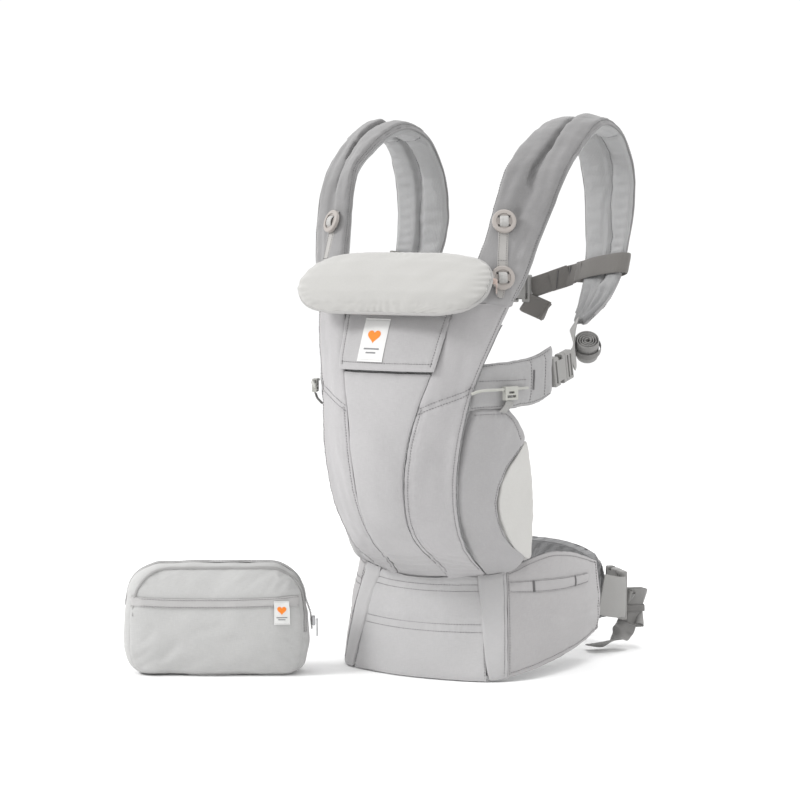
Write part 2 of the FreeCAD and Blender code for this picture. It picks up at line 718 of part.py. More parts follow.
def pouch_place(shape):
    moved = shape.copy()
    turn = FreeCAD.Rotation(V(0, 0, 1), POUCH_TURN)
    moved.Placement = FreeCAD.Placement(POUCH_PLACE, turn).multiply(shape.Placement)
    return moved


def rounded_outline(z, half_x, half_y, corner):
    """Rounded rectangle at one height, as a polygon."""
    points = []
    for cx, cy, start in ((1, 1, 0), (-1, 1, 90), (-1, -1, 180), (1, -1, 270)):
        for a in steps(start, start + 90, 4):
            points.append(V(cx * (half_x - corner) + corner * math.cos(math.radians(a)),
                            cy * (half_y - corner) + corner * math.sin(math.radians(a)), z))
    return points


def make_pouch():
    # rows: height, half width, half depth
    rows = [(0, 86, 20), (4, 94, 23.5), (12, 101, 25), (32, 105.5, 25), (70, 105, 24),
            (98, 100, 22), (113, 93, 19), (124, 81, 14), (130, 64, 7)]
    sections = [rounded_outline(z, hx, hy, min(18, hy * 0.95)) for z, hx, hy in rows]
    body = loft(sections)
    save("pouch_body", pouch_place(body))

    # the zip tape runs up one end of the pouch, over its top and down the other end
    route = [V(109.5, 0, 52), V(108.6, 0, 75), V(104, 0, 98), V(96, 0, 116), V(82, 0, 128),
             V(62, 0, 132.5), V(-60, 0, 132.5), V(-80, 0, 127), V(-94, 0, 115),
             V(-103, 0, 98), V(-107.5, 0, 82)]
    inside = [p * (1 - 1.2 / p.Length) for p in route]
    outline = route + inside[::-1]
    tape = Part.Face(Part.makePolygon(outline + outline[:1])).extrude(V(0, ZIP_WIDTH, 0))
    tape.translate(V(0, -ZIP_WIDTH / 2, 0))
    save("pouch_zip", pouch_place(tape))
    slider = block(-2.2, 2.2, 4.5, 5.5)
    slider = slider.makeFillet(1.2, slider.Edges)
    save("zip_slider", pouch_place(place(slider, V(112.8, 0, 60), V(1, 0, 0.04), V(0, 0, 1))))
    barrel = Part.makeCylinder(1.2, 6, V(0, -3, 9), V(0, 1, 0))
    pull = block(-1, 1, 3, 10).cut(block(-3, 3, 1.4, 2.4, z=-6)).fuse(barrel)
    save("zip_pull", pouch_place(place(pull, V(117, 0, 52), V(1, 0, 0), V(0, 0, 1))))
    label = Part.makeBox(21, 0.9, 28, V(66, -26.2, 60))
    save("pouch_label", pouch_place(label))


os.makedirs("parts", exist_ok=True)
make_belt()
make_front_panel()
make_leg_panels()
make_underarm_wing()
make_seat_adjuster()
make_underarm_buckles()
make_straps()
make_strap_buttons()
make_pillow()
make_cross_strap()
make_waist_buckle()
make_pouch()
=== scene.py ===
"""Looks of the soft baby carrier and its pouch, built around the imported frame.

Metres, in the frame's own axes: X to the viewer's right of the front panel, Y back to the
wearer, Z up. Shapes are sampled from the frame's solids by casting rays at them, so that
each soft piece lies where its solid is, and then get their padding, seams and stitches.
"""
import math

import bpy
import numpy as np
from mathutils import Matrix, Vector, noise
from mathutils.bvhtree import BVHTree


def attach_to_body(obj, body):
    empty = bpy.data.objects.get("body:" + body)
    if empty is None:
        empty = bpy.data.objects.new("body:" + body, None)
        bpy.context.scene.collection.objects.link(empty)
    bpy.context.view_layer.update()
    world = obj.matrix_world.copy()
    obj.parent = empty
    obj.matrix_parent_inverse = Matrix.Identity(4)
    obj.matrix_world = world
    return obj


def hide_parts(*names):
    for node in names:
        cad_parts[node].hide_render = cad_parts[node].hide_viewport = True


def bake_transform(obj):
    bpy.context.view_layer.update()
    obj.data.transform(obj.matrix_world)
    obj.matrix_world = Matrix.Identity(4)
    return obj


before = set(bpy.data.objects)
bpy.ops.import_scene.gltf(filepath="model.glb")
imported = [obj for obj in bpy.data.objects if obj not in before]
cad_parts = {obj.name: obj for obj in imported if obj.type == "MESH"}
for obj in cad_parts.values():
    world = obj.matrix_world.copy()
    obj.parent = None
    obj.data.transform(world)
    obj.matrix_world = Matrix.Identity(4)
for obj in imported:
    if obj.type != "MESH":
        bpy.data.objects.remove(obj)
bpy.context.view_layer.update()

CARRIER = "carrier"
SIDES = ("left", "right")
TURN = {"left": -1, "right": 1}
MIRROR = np.array([-1.0, 1.0, 1.0])
EDGE_INSET = 0.0006
# width and thickness of the narrow straps' webbing
NARROW_WEB = (0.0250, 0.0018)
SWELL_FRAMES = 18

# ---- grids and meshes ---------------------------------------------------------------


def unit(v):
    return v / np.maximum(np.linalg.norm(v, axis=-1, keepdims=True), 1e-12)


def tree_of(names):
    """Ray-casting tree over the solids of some nodes."""
    points, faces = [], []
    for name in names:
        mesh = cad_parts[name].data
        base = len(points)
        points += [v.co.copy() for v in mesh.vertices]
        faces += [[base + i for i in p.vertices] for p in mesh.polygons]
    return BVHTree.FromPolygons(points, faces)


def planar(across, along, inwards, reach=1.0):
    """Rays along one direction; a row is a place along `along`, a column across."""
    a, b, d = Vector(across), Vector(along), Vector(inwards)
    return lambda row, col: (a * col + b * row - d * reach, d, 2 * reach)


def polar(centre, axis, zero, reach):
    """Rays towards an axis; a row is an angle in radians, a column a place on the axis."""
    c, k = Vector(centre), Vector(axis)
    x = Vector(zero)
    y = k.cross(x)

    def shoot(row, col):
        out = x * math.cos(row) + y * math.sin(row)
        return c + k * col + out * reach, -out, reach
    return shoot


def cast(trees, shoot, row, col):
    origin, way, reach = shoot(row, col)
    near = trees[0].ray_cast(origin, way, reach)[0]
    if near is None:
        return None
    far = trees[1].ray_cast(origin + way * reach, -way, reach)[0]
    return None if far is None else (near, far)


def ease(values, times):
    """Smooths along the first axis and keeps both ends."""
    v = np.array(values, float)
    for _ in range(times):
        v[1:-1] = (v[:-2] + 2 * v[1:-1] + v[2:]) / 4
    return v


def ease_grid(points, times):
    for _ in range(times):
        points[1:-1] = (points[:-2] + 2 * points[1:-1] + points[2:]) / 4
        points[:, 1:-1] = (points[:, :-2] + 2 * points[:, 1:-1] + points[:, 2:]) / 4
    return points


def stretch(near, far, side, shift, span):
    """Draws one edge of both grids along by a vector, fading out over a share of the grid."""
    n, m = near.shape[:2]
    i, j = np.linspace(0, 1, n)[:, None], np.linspace(0, 1, m)[None]
    way = {"first row": i, "last row": 1 - i, "first column": j, "last column": 1 - j}[side]
    w = np.clip(1 - way / span, 0, 1) ** 1.5 + np.zeros((n, m))
    for grid in (near, far):
        grid += w[..., None] * np.array(shift)


def dense_ends(count):
    """Numbers from 0 to 1 that lie closer together near both ends."""
    x = np.linspace(0, 1, count)
    bend = 0.45
    return (1 - bend) * x + bend * (0.5 - 0.5 * np.cos(np.pi * x))


def sample(names, shoot, rows, low, high, columns, behind=(), step=0.0012, easing=4,
           fades=1):
    """Near side of some solids and far side of them with what is behind, row by row."""
    trees = (tree_of(names), tree_of([*names, *behind]))
    spans = []
    for row in rows:
        hits = [c for c in np.arange(low, high, step) if cast(trees, shoot, row, c)]
        spans.append((hits[0], hits[-1]) if hits else (np.nan, np.nan))
    spans = np.array(spans)
    good = ~np.isnan(spans[:, 0])
    for k in (0, 1):
        spans[:, k] = np.interp(np.arange(len(rows)), np.arange(len(rows))[good],
                                spans[good, k])
    spans = ease(spans, easing)
    share = dense_ends(columns)
    near = np.full((len(rows), columns, 3), np.nan)
    far = near.copy()
    for i, row in enumerate(rows):
        a, b = spans[i, 0] + EDGE_INSET, spans[i, 1] - EDGE_INSET
        for j, s in enumerate(share):
            hit = cast(trees, shoot, row, a + (b - a) * s)
            if hit:
                near[i, j], far[i, j] = hit
        known = ~np.isnan(near[i, :, 0])
        if known.any():
            index = np.arange(columns)
            for g in (near, far):
                for k in range(3):
                    g[i, :, k] = np.interp(index, index[known], g[i, known, k])
    full = ~np.isnan(near[:, 0, 0])
    index = np.arange(len(rows))
    for g in (near, far):
        for j in range(columns):
            for k in range(3):
                g[:, j, k] = np.interp(index, index[full], g[full, j, k])
    return ease_grid(near, fades), ease_grid(far, fades)


def running(points):
    """Running length along a line of points."""
    return np.concatenate([[0], np.cumsum(np.linalg.norm(np.diff(points, axis=0), axis=1))])


def corners_of(name):
    return np.array([tuple(v.co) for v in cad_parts[name].data.vertices])


def lengths(points, axis):
    """Running length along one axis of a grid of points."""
    step = np.linalg.norm(np.diff(points, axis=axis), axis=-1)
    start = np.zeros_like(np.take(step, [0], axis=axis))
    return np.concatenate([start, np.cumsum(step, axis=axis)], axis=axis)


def normals_of(points):
    """Unit normals of a grid of points."""
    return unit(np.cross(np.gradient(points, axis=0), np.gradient(points, axis=1)))


def add_object(name, points, faces, uv=None, materials=(), indices=None, smooth=True):
    mesh = bpy.data.meshes.new(name)
    mesh.from_pydata([tuple(p) for p in points], [], faces)
    if uv is not None:
        layer = mesh.uv_layers.new(name="weave")
        order = np.zeros(len(mesh.loops), int)
        mesh.loops.foreach_get("vertex_index", order)
        layer.data.foreach_set("uv", np.asarray(uv, np.float32)[order].ravel())
    for m in materials:
        mesh.materials.append(m)
    if indices is not None:
        mesh.polygons.foreach_set("material_index", np.asarray(indices, np.int32))
    mesh.polygons.foreach_set("use_smooth", [smooth] * len(mesh.polygons))
    mesh.validate()
    mesh.update()
    piece = bpy.data.objects.new(name, mesh)
    bpy.context.scene.collection.objects.link(piece)
    return piece


class Pad:
    """A closed pad between a near and a far grid, with rounded rims.

    rims: how far the rounding reaches in from the first row, last row, first column and
    last column, in metres. A seam gives (reach, share of the thickness left at the rim).
    """

    def __init__(self, name, near, far, rims, front, back=None):
        self.name = name
        self.n, self.m = near.shape[:2]
        middle, half = (near + far) / 2, (near - far) / 2
        w = np.minimum(self.rounding(near, 0, rims[0], rims[1]),
                       self.rounding(near, 1, rims[2], rims[3]))[..., None]
        self.front = middle + half * w
        self.back = middle - half * w
        outwards = normals_of(near)
        self.sign = 1.0 if np.mean(np.sum(outwards * half, -1)) > 0 else -1.0
        self.materials = [front, back or front]

    @staticmethod
    def rounding(points, axis, first, last):
        run = lengths(points, axis)
        share = []
        for reach, way in ((first, run), (last, np.take(run, [-1], axis=axis) - run)):
            reach, left = reach if isinstance(reach, tuple) else (reach, 0.12)
            s = np.clip(way / reach, 0, 1)
            share.append(left + (1 - left) * np.sqrt(1 - (1 - s) ** 2))
        return np.minimum(*share)

    def grid(self, side="front"):
        return self.front if side == "front" else self.back

    def normals(self, side="front"):
        if side == "front":
            return normals_of(self.front) * self.sign
        return -normals_of(self.back) * self.sign

    def arrays(self):
        n, m = self.n, self.m
        size = n * m
        points = np.concatenate([self.front.reshape(-1, 3), self.back.reshape(-1, 3)])
        faces, kinds = [], []
        for i in range(n - 1):
            for j in range(m - 1):
                a, b, c, d = i * m + j, i * m + j + 1, (i + 1) * m + j + 1, (i + 1) * m + j
                quad = (a, d, c, b) if self.sign > 0 else (a, b, c, d)
                faces += [quad, tuple(size + k for k in quad[::-1])]
                kinds += [0, 1]
        rim = list(range(m)) + [i * m + m - 1 for i in range(1, n)]
        rim += [(n - 1) * m + j for j in range(m - 2, -1, -1)]
        rim += [i * m for i in range(n - 2, 0, -1)]
        for k, a in enumerate(rim):
            b = rim[(k + 1) % len(rim)]
            quad = (b, a, a + size, b + size)
            faces.append(quad if self.sign > 0 else quad[::-1])
            kinds.append(0)
        u, v = lengths(self.front, 0), lengths(self.front, 1)
        uv = np.stack([u.ravel(), v.ravel()], -1)
        return points, faces, kinds, np.concatenate([uv, uv])

    def build(self):
        points, faces, kinds, uv = self.arrays()
        self.piece = add_object(self.name, points, faces, uv, self.materials, kinds)
        return self.piece

    def at(self, i, j, lift=0.0, side="front"):
        """Points at fractional grid places, and the normals there."""
        grid = self.grid(side)
        normal = self.normals(side)
        i = np.clip(np.asarray(i, float), 0, self.n - 1.001)
        j = np.clip(np.asarray(j, float), 0, self.m - 1.001)
        a, b = i.astype(int), j.astype(int)
        s, t = (i - a)[:, None], (j - b)[:, None]

        def mix(g):
            return ((g[a, b] * (1 - s) + g[a + 1, b] * s) * (1 - t)
                    + (g[a, b + 1] * (1 - s) + g[a + 1, b + 1] * s) * t)
        way = unit(mix(normal))
        return mix(grid) + way * lift, way

    def push(self, amount, side="front"):
        """Moves a side along its normals by an amount per grid point."""
        grid = self.grid(side)
        grid += self.normals(side) * amount[..., None]

    def locate(self, points):
        """Fractional grid places nearest to some points."""
        grid = self.front
        found = []
        for p in np.asarray(points, float):
            k = int(np.argmin(np.sum((grid - p) ** 2, -1)))
            i, j = float(k // self.m), float(k % self.m)
            for _ in range(4):
                a, b = min(int(i), self.n - 2), min(int(j), self.m - 2)
                base = grid[a, b]
                ways = np.stack([grid[a + 1, b] - base, grid[a, b + 1] - base], 1)
                step = np.linalg.lstsq(ways, p - base, rcond=None)[0]
                i = float(np.clip(a + np.clip(step[0], -1, 2), 0, self.n - 1.001))
                j = float(np.clip(b + np.clip(step[1], -1, 2), 0, self.m - 1.001))
            found.append((i, j))
        found = np.array(found)
        return found[:, 0], found[:, 1]


def swell(pad, pressure, cap):
    """Cloth simulation of a pad: air pressure against its pinned seams."""
    points, faces, _, _ = pad.arrays()
    piece = add_object(pad.name + "_cloth", points, faces)
    hold = piece.vertex_groups.new(name="hold")
    n, m = pad.n, pad.m
    fixed = np.zeros((n, m))
    fixed[0], fixed[-1], fixed[:, 0], fixed[:, -1] = 1, 1, 1, 1
    for k in np.flatnonzero(np.concatenate([fixed.ravel()] * 2)):
        hold.add([int(k)], 1.0, "REPLACE")
    cloth = piece.modifiers.new("cloth", "CLOTH")
    c = cloth.settings
    c.quality = 5
    c.mass = 0.25
    c.tension_stiffness = 8.0
    c.compression_stiffness = 8.0
    c.shear_stiffness = 4.0
    c.bending_stiffness = 0.15
    c.air_damping = 2.0
    c.use_pressure = True
    c.uniform_pressure_force = pressure
    c.effector_weights.gravity = 0.0
    c.vertex_group_mass = "hold"
    cloth.collision_settings.use_collision = False
    cloth.point_cache.frame_start = 1
    cloth.point_cache.frame_end = SWELL_FRAMES
    scene = bpy.context.scene
    for f in range(1, SWELL_FRAMES + 1):
        scene.frame_set(f)
    graph = bpy.context.evaluated_depsgraph_get()
    moved = np.zeros(len(points) * 3)
    result = piece.evaluated_get(graph).to_mesh()
    result.vertices.foreach_get("co", moved)
    shift = moved.reshape(-1, 3) - points
    size = np.linalg.norm(shift, axis=-1, keepdims=True)
    shift *= np.tanh(size / cap) * cap / np.maximum(size, 1e-9)
    shift = shift.reshape(2, n, m, 3)
    pad.front += shift[0]
    pad.back += shift[1]
    mesh = piece.data
    bpy.data.objects.remove(piece)
    bpy.data.meshes.remove(mesh)
    scene.frame_set(1)


def smoother(piece, levels=1):
    mod = piece.modifiers.new("subdivision", "SUBSURF")
    mod.levels = levels
    mod.render_levels = levels
    return piece


def settle(piece, body, nodes=(), levels=1):
    """Smooths a finished piece unless levels is 0, puts it on its body and hides the solids that
    it stands for.
    """
    if levels:
        smoother(piece, levels)
    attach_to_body(piece, body)
    if nodes:
        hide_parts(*nodes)
    return piece


# ---- lines, tubes, stitches ---------------------------------------------------------


def attach(pad, body, nodes=()):
    """Builds a pad and settles its piece."""
    pad.build()
    settle(pad.piece, body, nodes)


def spline(points, count):
    """Smooth curve through points, evenly spaced."""
    p = np.array(points, float)
    p = np.vstack([2 * p[0] - p[1], p, 2 * p[-1] - p[-2]])
    out = []
    for k in range(1, len(p) - 2):
        a, b, c, d = p[k - 1], p[k], p[k + 1], p[k + 2]
        for s in np.linspace(0, 1, 24, endpoint=False):
            out.append(0.5 * (2 * b + (c - a) * s + (2 * a - 5 * b + 4 * c - d) * s ** 2
                              + (3 * b - a - 3 * c + d) * s ** 3))
    out.append(p[-2])
    return resample(np.array(out), count)


def resample(points, count):
    run = running(points)
    where = np.linspace(0, run[-1], count)
    return np.stack([np.interp(where, run, points[:, k]) for k in range(points.shape[1])], -1)


def tube(name, points, radius, material, sides=10, closed=False):
    """Round cord along points."""
    p = np.asarray(points, float)
    if closed:
        along = unit(np.roll(p, -1, 0) - np.roll(p, 1, 0))
    else:
        along = unit(np.gradient(p, axis=0))
    side = np.zeros_like(p)
    guess = np.cross(along[0], [0.31, 0.22, 0.92])
    for k in range(len(p)):
        guess = guess - along[k] * guess.dot(along[k])
        guess /= np.linalg.norm(guess)
        side[k] = guess
    up = np.cross(along, side)
    rings = []
    for a in np.linspace(0, 2 * np.pi, sides, endpoint=False):
        rings.append(p + (side * math.cos(a) + up * math.sin(a)) * radius)
    grid = np.stack(rings, 1)
    n = len(p)
    faces = []
    for i in range(n if closed else n - 1):
        for j in range(sides):
            a, b = i * sides + j, i * sides + (j + 1) % sides
            c, d = ((i + 1) % n) * sides + (j + 1) % sides, ((i + 1) % n) * sides + j
            faces.append((a, b, c, d))
    if not closed:
        faces.append(tuple(range(sides - 1, -1, -1)))
        faces.append(tuple((n - 1) * sides + j for j in range(sides)))
    run = running(p)
    uv = np.stack([np.repeat(run, sides), np.tile(np.arange(sides) * radius, n)], -1)
    return add_object(name, grid.reshape(-1, 3), faces, uv, [material])


class Threads:
    """Rows of sewing stitches, gathered into one piece for each body."""

    def __init__(self):
        self.groups = {}

    def row(self, points, normals, body=CARRIER, kind="grey", pitch=0.0032, length=0.0024,
            width=0.00075, height=0.0006):
        run = running(points)
        if run[-1] < pitch:
            return
        count = int(run[-1] / pitch)
        centres = (np.arange(count) + 0.5) * (run[-1] / count)
        place = np.stack([np.interp(centres, run, points[:, k]) for k in range(3)], -1)
        ahead = np.stack([np.interp(centres + 1e-4, run, points[:, k]) for k in range(3)], -1)
        back = np.stack([np.interp(centres - 1e-4, run, points[:, k]) for k in range(3)], -1)
        up = unit(np.stack([np.interp(centres, run, normals[:, k]) for k in range(3)], -1))
        along = unit(ahead - back)
        side = np.cross(up, along)
        shapes = self.groups.setdefault((body, kind), [])
        for p, a, u, s in zip(place, along, up, side):
            ring = [u * height, s * width / 2, -u * height * 0.6, -s * width / 2]
            shapes.append([p - a * length / 2] + [p - a * length * 0.3 + r for r in ring]
                          + [p + a * length * 0.3 + r for r in ring] + [p + a * length / 2])

    def build(self, materials):
        for (body, kind), shapes in self.groups.items():
            points, faces = [], []
            for shape in shapes:
                base = len(points)
                points += shape
                for k in range(4):
                    a, b = 1 + k, 1 + (k + 1) % 4
                    faces.append((base, base + a, base + b))
                    faces.append((base + a, base + a + 4, base + b + 4, base + b))
                    faces.append((base + 9, base + b + 4, base + a + 4))
            piece = add_object(f"stitching_{kind}_{body}", points, faces,
                               materials=[materials[kind]])
            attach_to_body(piece, body)


threads = Threads()


def stitch_on(pad, i, j, lift=0.0002, side="front", body=CARRIER, kind="grey", **size):
    """A row of stitches along fractional grid places of a pad."""
    count = max(len(i), 2) * 6
    k = np.linspace(0, len(i) - 1, count)
    fi = np.interp(k, np.arange(len(i)), i)
    fj = np.interp(k, np.arange(len(j)), j)
    points, normal = pad.at(fi, fj, lift, side)
    threads.row(points, normal, body, kind, **size)


def along_web(points, across, count=60):
    """Route of a webbing, its direction across and its normal, evenly spaced."""
    route = spline(points, count)
    hints = np.array(across, float)
    if hints.ndim == 1:
        hints = np.tile(hints, (len(points), 1))
    side = spline(hints, count)
    along = unit(np.gradient(route, axis=0))
    side = unit(side - along * np.sum(side * along, -1, keepdims=True))
    return route, side, np.cross(along, side)


def webbing(name, points, across, width, thickness, material, count=60):
    """Flat woven strap with soft edges along a smooth route."""
    route, side, up = along_web(points, across, count)
    half, t = width / 2, thickness / 2
    shares = np.linspace(-1, 1, 9)
    outline = [(s * half, t * (1 - 0.7 * abs(s) ** 8)) for s in shares]
    outline += [(s * half, -t * (1 - 0.7 * abs(s) ** 8)) for s in shares[::-1]]
    grid = np.stack([route + side * a + up * b for a, b in outline], 1)
    m = len(outline)
    faces = []
    for i in range(count - 1):
        for j in range(m):
            a, b = i * m + j, i * m + (j + 1) % m
            faces.append((a, b, b + m, a + m))
    faces.append(tuple(range(m - 1, -1, -1)))
    faces.append(tuple((count - 1) * m + j for j in range(m)))
    uv = np.stack([np.repeat(running(route), m), np.tile([a for a, _ in outline], count)], -1)
    return add_object(name, grid.reshape(-1, 3), faces, uv, [material])


def closed_webbing(name, points, across, width, thickness, material, count=90):
    """Webbing that runs round and overlaps its own start."""
    overlap = list(points) + list(points[:2])
    return webbing(name, overlap, across, width, thickness, material, count)


def bridge(piece, first, second, start, end, slot, *nodes):
    """Smooths a piece that lies across a joint, fixes it where it stands and hides the solids that
    it replaces; it goes on neither body.
    """
    smoother(piece)
    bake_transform(piece)
    if nodes:
        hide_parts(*nodes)


# ---- materials ----------------------------------------------------------------------


def node(tree, kind, feed=None, **inputs):
    """Shader node; feed is a socket name and its source, and _ in a name stands for a space."""
    made = tree.nodes.new("ShaderNode" + kind)
    for key, value in inputs.items():
        made.inputs[key.replace("_", " ")].default_value = value
    if feed:
        tree.links.new(feed[1], made.inputs[feed[0]])
    return made


def principled(name, colour, roughness, **extra):
    material = bpy.data.materials.new(name)
    material.use_nodes = True
    shader = material.node_tree.nodes["Principled BSDF"]
    shader.inputs["Base Color"].default_value = (*colour, 1)
    shader.inputs["Roughness"].default_value = roughness
    for key, value in extra.items():
        shader.inputs[key.replace("_", " ")].default_value = value
    return material, material.node_tree, shader


def woven_place(tree):
    """Place on the flat cloth, in metres."""
    where = tree.nodes.new("ShaderNodeUVMap")
    where.uv_map = "weave"
    return where.outputs["UV"]


def solid_place(tree):
    return tree.nodes.new("ShaderNodeTexCoord").outputs["Object"]


def scaled(tree, source, factors):
    return node(tree, "Mapping", ("Vector", source), Scale=factors).outputs["Vector"]


def clouds(tree, place, scale=1.0, detail=2.0):
    return node(tree, "TexNoise", ("Vector", place), Scale=scale, Detail=detail).outputs["Fac"]


def ramped(tree, value, low, high, start=0.0, end=1.0):
    """The span from low to high brought onto start to end."""
    ramp = node(tree, "MapRange", ("Value", value), From_Min=low, From_Max=high, To_Min=start,
                To_Max=end)
    return ramp.outputs["Result"]


def blended(tree, a, b, factor=0.5):
    mix = tree.nodes.new("ShaderNodeMix")
    mix.data_type = "FLOAT"
    mix.inputs[0].default_value = factor
    tree.links.new(a, mix.inputs[2])
    tree.links.new(b, mix.inputs[3])
    return mix.outputs[0]


def tinted(tree, shader, factor, colour, darker, lighter):
    """Colour between a darker and a lighter tint of itself."""
    mix = tree.nodes.new("ShaderNodeMix")
    mix.data_type = "RGBA"
    mix.inputs[6].default_value = (*[c * (1 - darker) for c in colour], 1)
    mix.inputs[7].default_value = (*[min(c * (1 + lighter), 1) for c in colour], 1)
    tree.links.new(factor, mix.inputs[0])
    tree.links.new(mix.outputs[2], shader.inputs["Base Color"])


def embossed(tree, shader, height, strength, distance):
    relief = node(tree, "Bump", ("Height", height), Strength=strength, Distance=distance)
    tree.links.new(relief.outputs["Normal"], shader.inputs["Normal"])


def cloth(name, colour, contrast=0.07, thread=1500.0, slub=130.0, bump=0.35, sheen=0.25,
          roughness=0.9, mapped=True):
    """Plain-woven cloth: crossing threads, slubs and a faint cloudiness."""
    material, tree, shader = principled(name, colour, roughness, Sheen_Weight=sheen,
                                        Sheen_Roughness=0.5, Specular_IOR_Level=0.25)
    solid = solid_place(tree)
    place = woven_place(tree) if mapped else solid
    warp = clouds(tree, scaled(tree, place, (thread, slub, slub)))
    weft = clouds(tree, scaled(tree, place, (slub, thread, thread)))
    weave = blended(tree, warp, weft)
    both = blended(tree, weave, clouds(tree, solid, 22.0, 3.0), 0.3)
    tinted(tree, shader, ramped(tree, both, 0.36, 0.64), colour, contrast, contrast)
    embossed(tree, shader, weave, bump, 0.0004)
    return material


def spacer_mesh(name, colour, cell=0.0026, contrast=0.28):
    """Knitted air mesh with small round holes."""
    material, tree, shader = principled(name, colour, 0.9, Sheen_Weight=0.3,
                                        Specular_IOR_Level=0.2)
    place = scaled(tree, woven_place(tree), (1 / cell,) * 3)
    cells = node(tree, "TexVoronoi", ("Vector", place), Scale=1.0, Randomness=0.15)
    holes = ramped(tree, cells.outputs["Distance"], 0.15, 0.5)
    tinted(tree, shader, holes, colour, contrast, 0.3 * contrast)
    embossed(tree, shader, holes, 0.6, 0.0006)
    return material


def painted_light_and_shade_by_height(material, low, high, gain):
    """Painted light and shade: colour times gain below one height, unchanged above another."""
    tree = material.node_tree
    socket = tree.nodes["Principled BSDF"].inputs["Base Color"]
    source = socket.links[0].from_socket
    parts = node(tree, "SeparateXYZ", ("Vector", solid_place(tree)))
    mix = tree.nodes.new("ShaderNodeMix")
    mix.data_type = "RGBA"
    mix.blend_type = "MULTIPLY"
    tree.links.new(ramped(tree, parts.outputs["Z"], low, high, 1, 0), mix.inputs[0])
    tree.links.new(source, mix.inputs[6])
    mix.inputs[7].default_value = (gain, gain, gain, 1)
    tree.links.new(mix.outputs[2], socket)
    return material


def webbing_cloth(name, colour, rib=0.0016, contrast=0.22):
    """Woven webbing: ribs across, fine cords along."""
    material, tree, shader = principled(name, colour, 0.75, Sheen_Weight=0.2,
                                        Specular_IOR_Level=0.35)
    place = woven_place(tree)
    across = node(tree, "TexWave", ("Vector", place), Scale=0.314 / rib, Distortion=0.6,
                  Detail=1.0, Detail_Scale=2.0)
    along = node(tree, "TexWave", ("Vector", place), Scale=0.314 / 0.0011, Distortion=0.4)
    along.bands_direction = "Y"
    both = blended(tree, across.outputs["Fac"], along.outputs["Fac"], 0.4)
    grain = blended(tree, both, clouds(tree, place, 900.0), 0.4)
    tinted(tree, shader, grain, colour, contrast, contrast)
    embossed(tree, shader, both, 0.5, 0.0004)
    return material


def moulded(name, colour, roughness=0.42, grain=0.12):
    """Moulded nylon with a fine spark-eroded grain and slight unevenness."""
    material, tree, shader = principled(name, colour, roughness, Specular_IOR_Level=0.45)
    place = solid_place(tree)
    patches = clouds(tree, place, 60.0, 3.0)
    tinted(tree, shader, patches, colour, 0.1, 0.08)
    embossed(tree, shader, clouds(tree, place, 2600.0), grain, 0.0002)
    rough = ramped(tree, patches, 0.0, 1.0, roughness - 0.06, roughness + 0.1)
    tree.links.new(rough, shader.inputs["Roughness"])
    return material


def metal(name, colour, roughness=0.32):
    material, tree, shader = principled(name, colour, roughness, Metallic=1.0)
    scratches = clouds(tree, scaled(tree, solid_place(tree), (900, 900, 90)), detail=4.0)
    tinted(tree, shader, scratches, colour, 0.2, 0.0)
    embossed(tree, shader, scratches, 0.1, 0.0002)
    return material


CENTRE_GREY = (0.372, 0.365, 0.368)
SIDE_GREY = (0.372, 0.364, 0.368)
BELT_GREY = (0.399, 0.394, 0.396)
WING_GREY = (0.362, 0.353, 0.355)
STRAP_GREY = (0.207, 0.204, 0.205)
LEG_GREY = (0.332, 0.326, 0.329)
ARM_GREY = (0.324, 0.320, 0.322)
CREAM = (0.376, 0.371, 0.358)
POUCH_GREY = (0.426, 0.425, 0.420)

centre_cloth = cloth("centre_cloth", CENTRE_GREY)
side_cloth = cloth("side_cloth", SIDE_GREY)
belt_cloth = cloth("belt_cloth", BELT_GREY)
band_cloth = cloth("band_cloth", BELT_GREY, contrast=0.05)
wing_cloth = cloth("wing_cloth", WING_GREY)
# painted light and shade: the strap cover's colour is times 1.42 below 0.43 m and unchanged over
# the shoulder above 0.54 m
strap_cloth = painted_light_and_shade_by_height(cloth("strap_cloth", STRAP_GREY), 0.430, 0.540, 1.42)
leg_cloth = cloth("leg_cloth", LEG_GREY)
arm_cloth = cloth("arm_cloth", ARM_GREY)
pad_cream = cloth("pad_cream", (0.490, 0.484, 0.467), contrast=0.04, thread=1900.0, slub=300.0,
                  bump=0.2)
cream_cloth = cloth("cream_cloth", CREAM, contrast=0.04, thread=1900.0, slub=300.0, bump=0.2,
                    sheen=0.4)
rim_cloth = cloth("rim_cloth", (0.350, 0.345, 0.338), contrast=0.06)
pouch_cloth = cloth("pouch_cloth", POUCH_GREY)
zip_cover = cloth("zip_cover", (0.300, 0.297, 0.293))
hem_cloth = cloth("hem_cloth", (0.400, 0.394, 0.391))
tape_cloth = cloth("tape_cloth", (0.36, 0.35, 0.338), contrast=0.12, thread=2400.0,
                   slub=500.0, sheen=0.1, roughness=0.6)
label_cloth = cloth("label_cloth", (0.66, 0.66, 0.65), contrast=0.03, thread=2600.0,
                    slub=700.0)
heart_cloth = cloth("heart_cloth", (0.78, 0.22, 0.03), contrast=0.12, thread=2600.0,
                    slub=700.0)
print_cloth = cloth("print_cloth", (0.20, 0.20, 0.21), contrast=0.1, thread=2600.0)
pink_tape = cloth("pink_tape", (0.42, 0.33, 0.295), contrast=0.08)
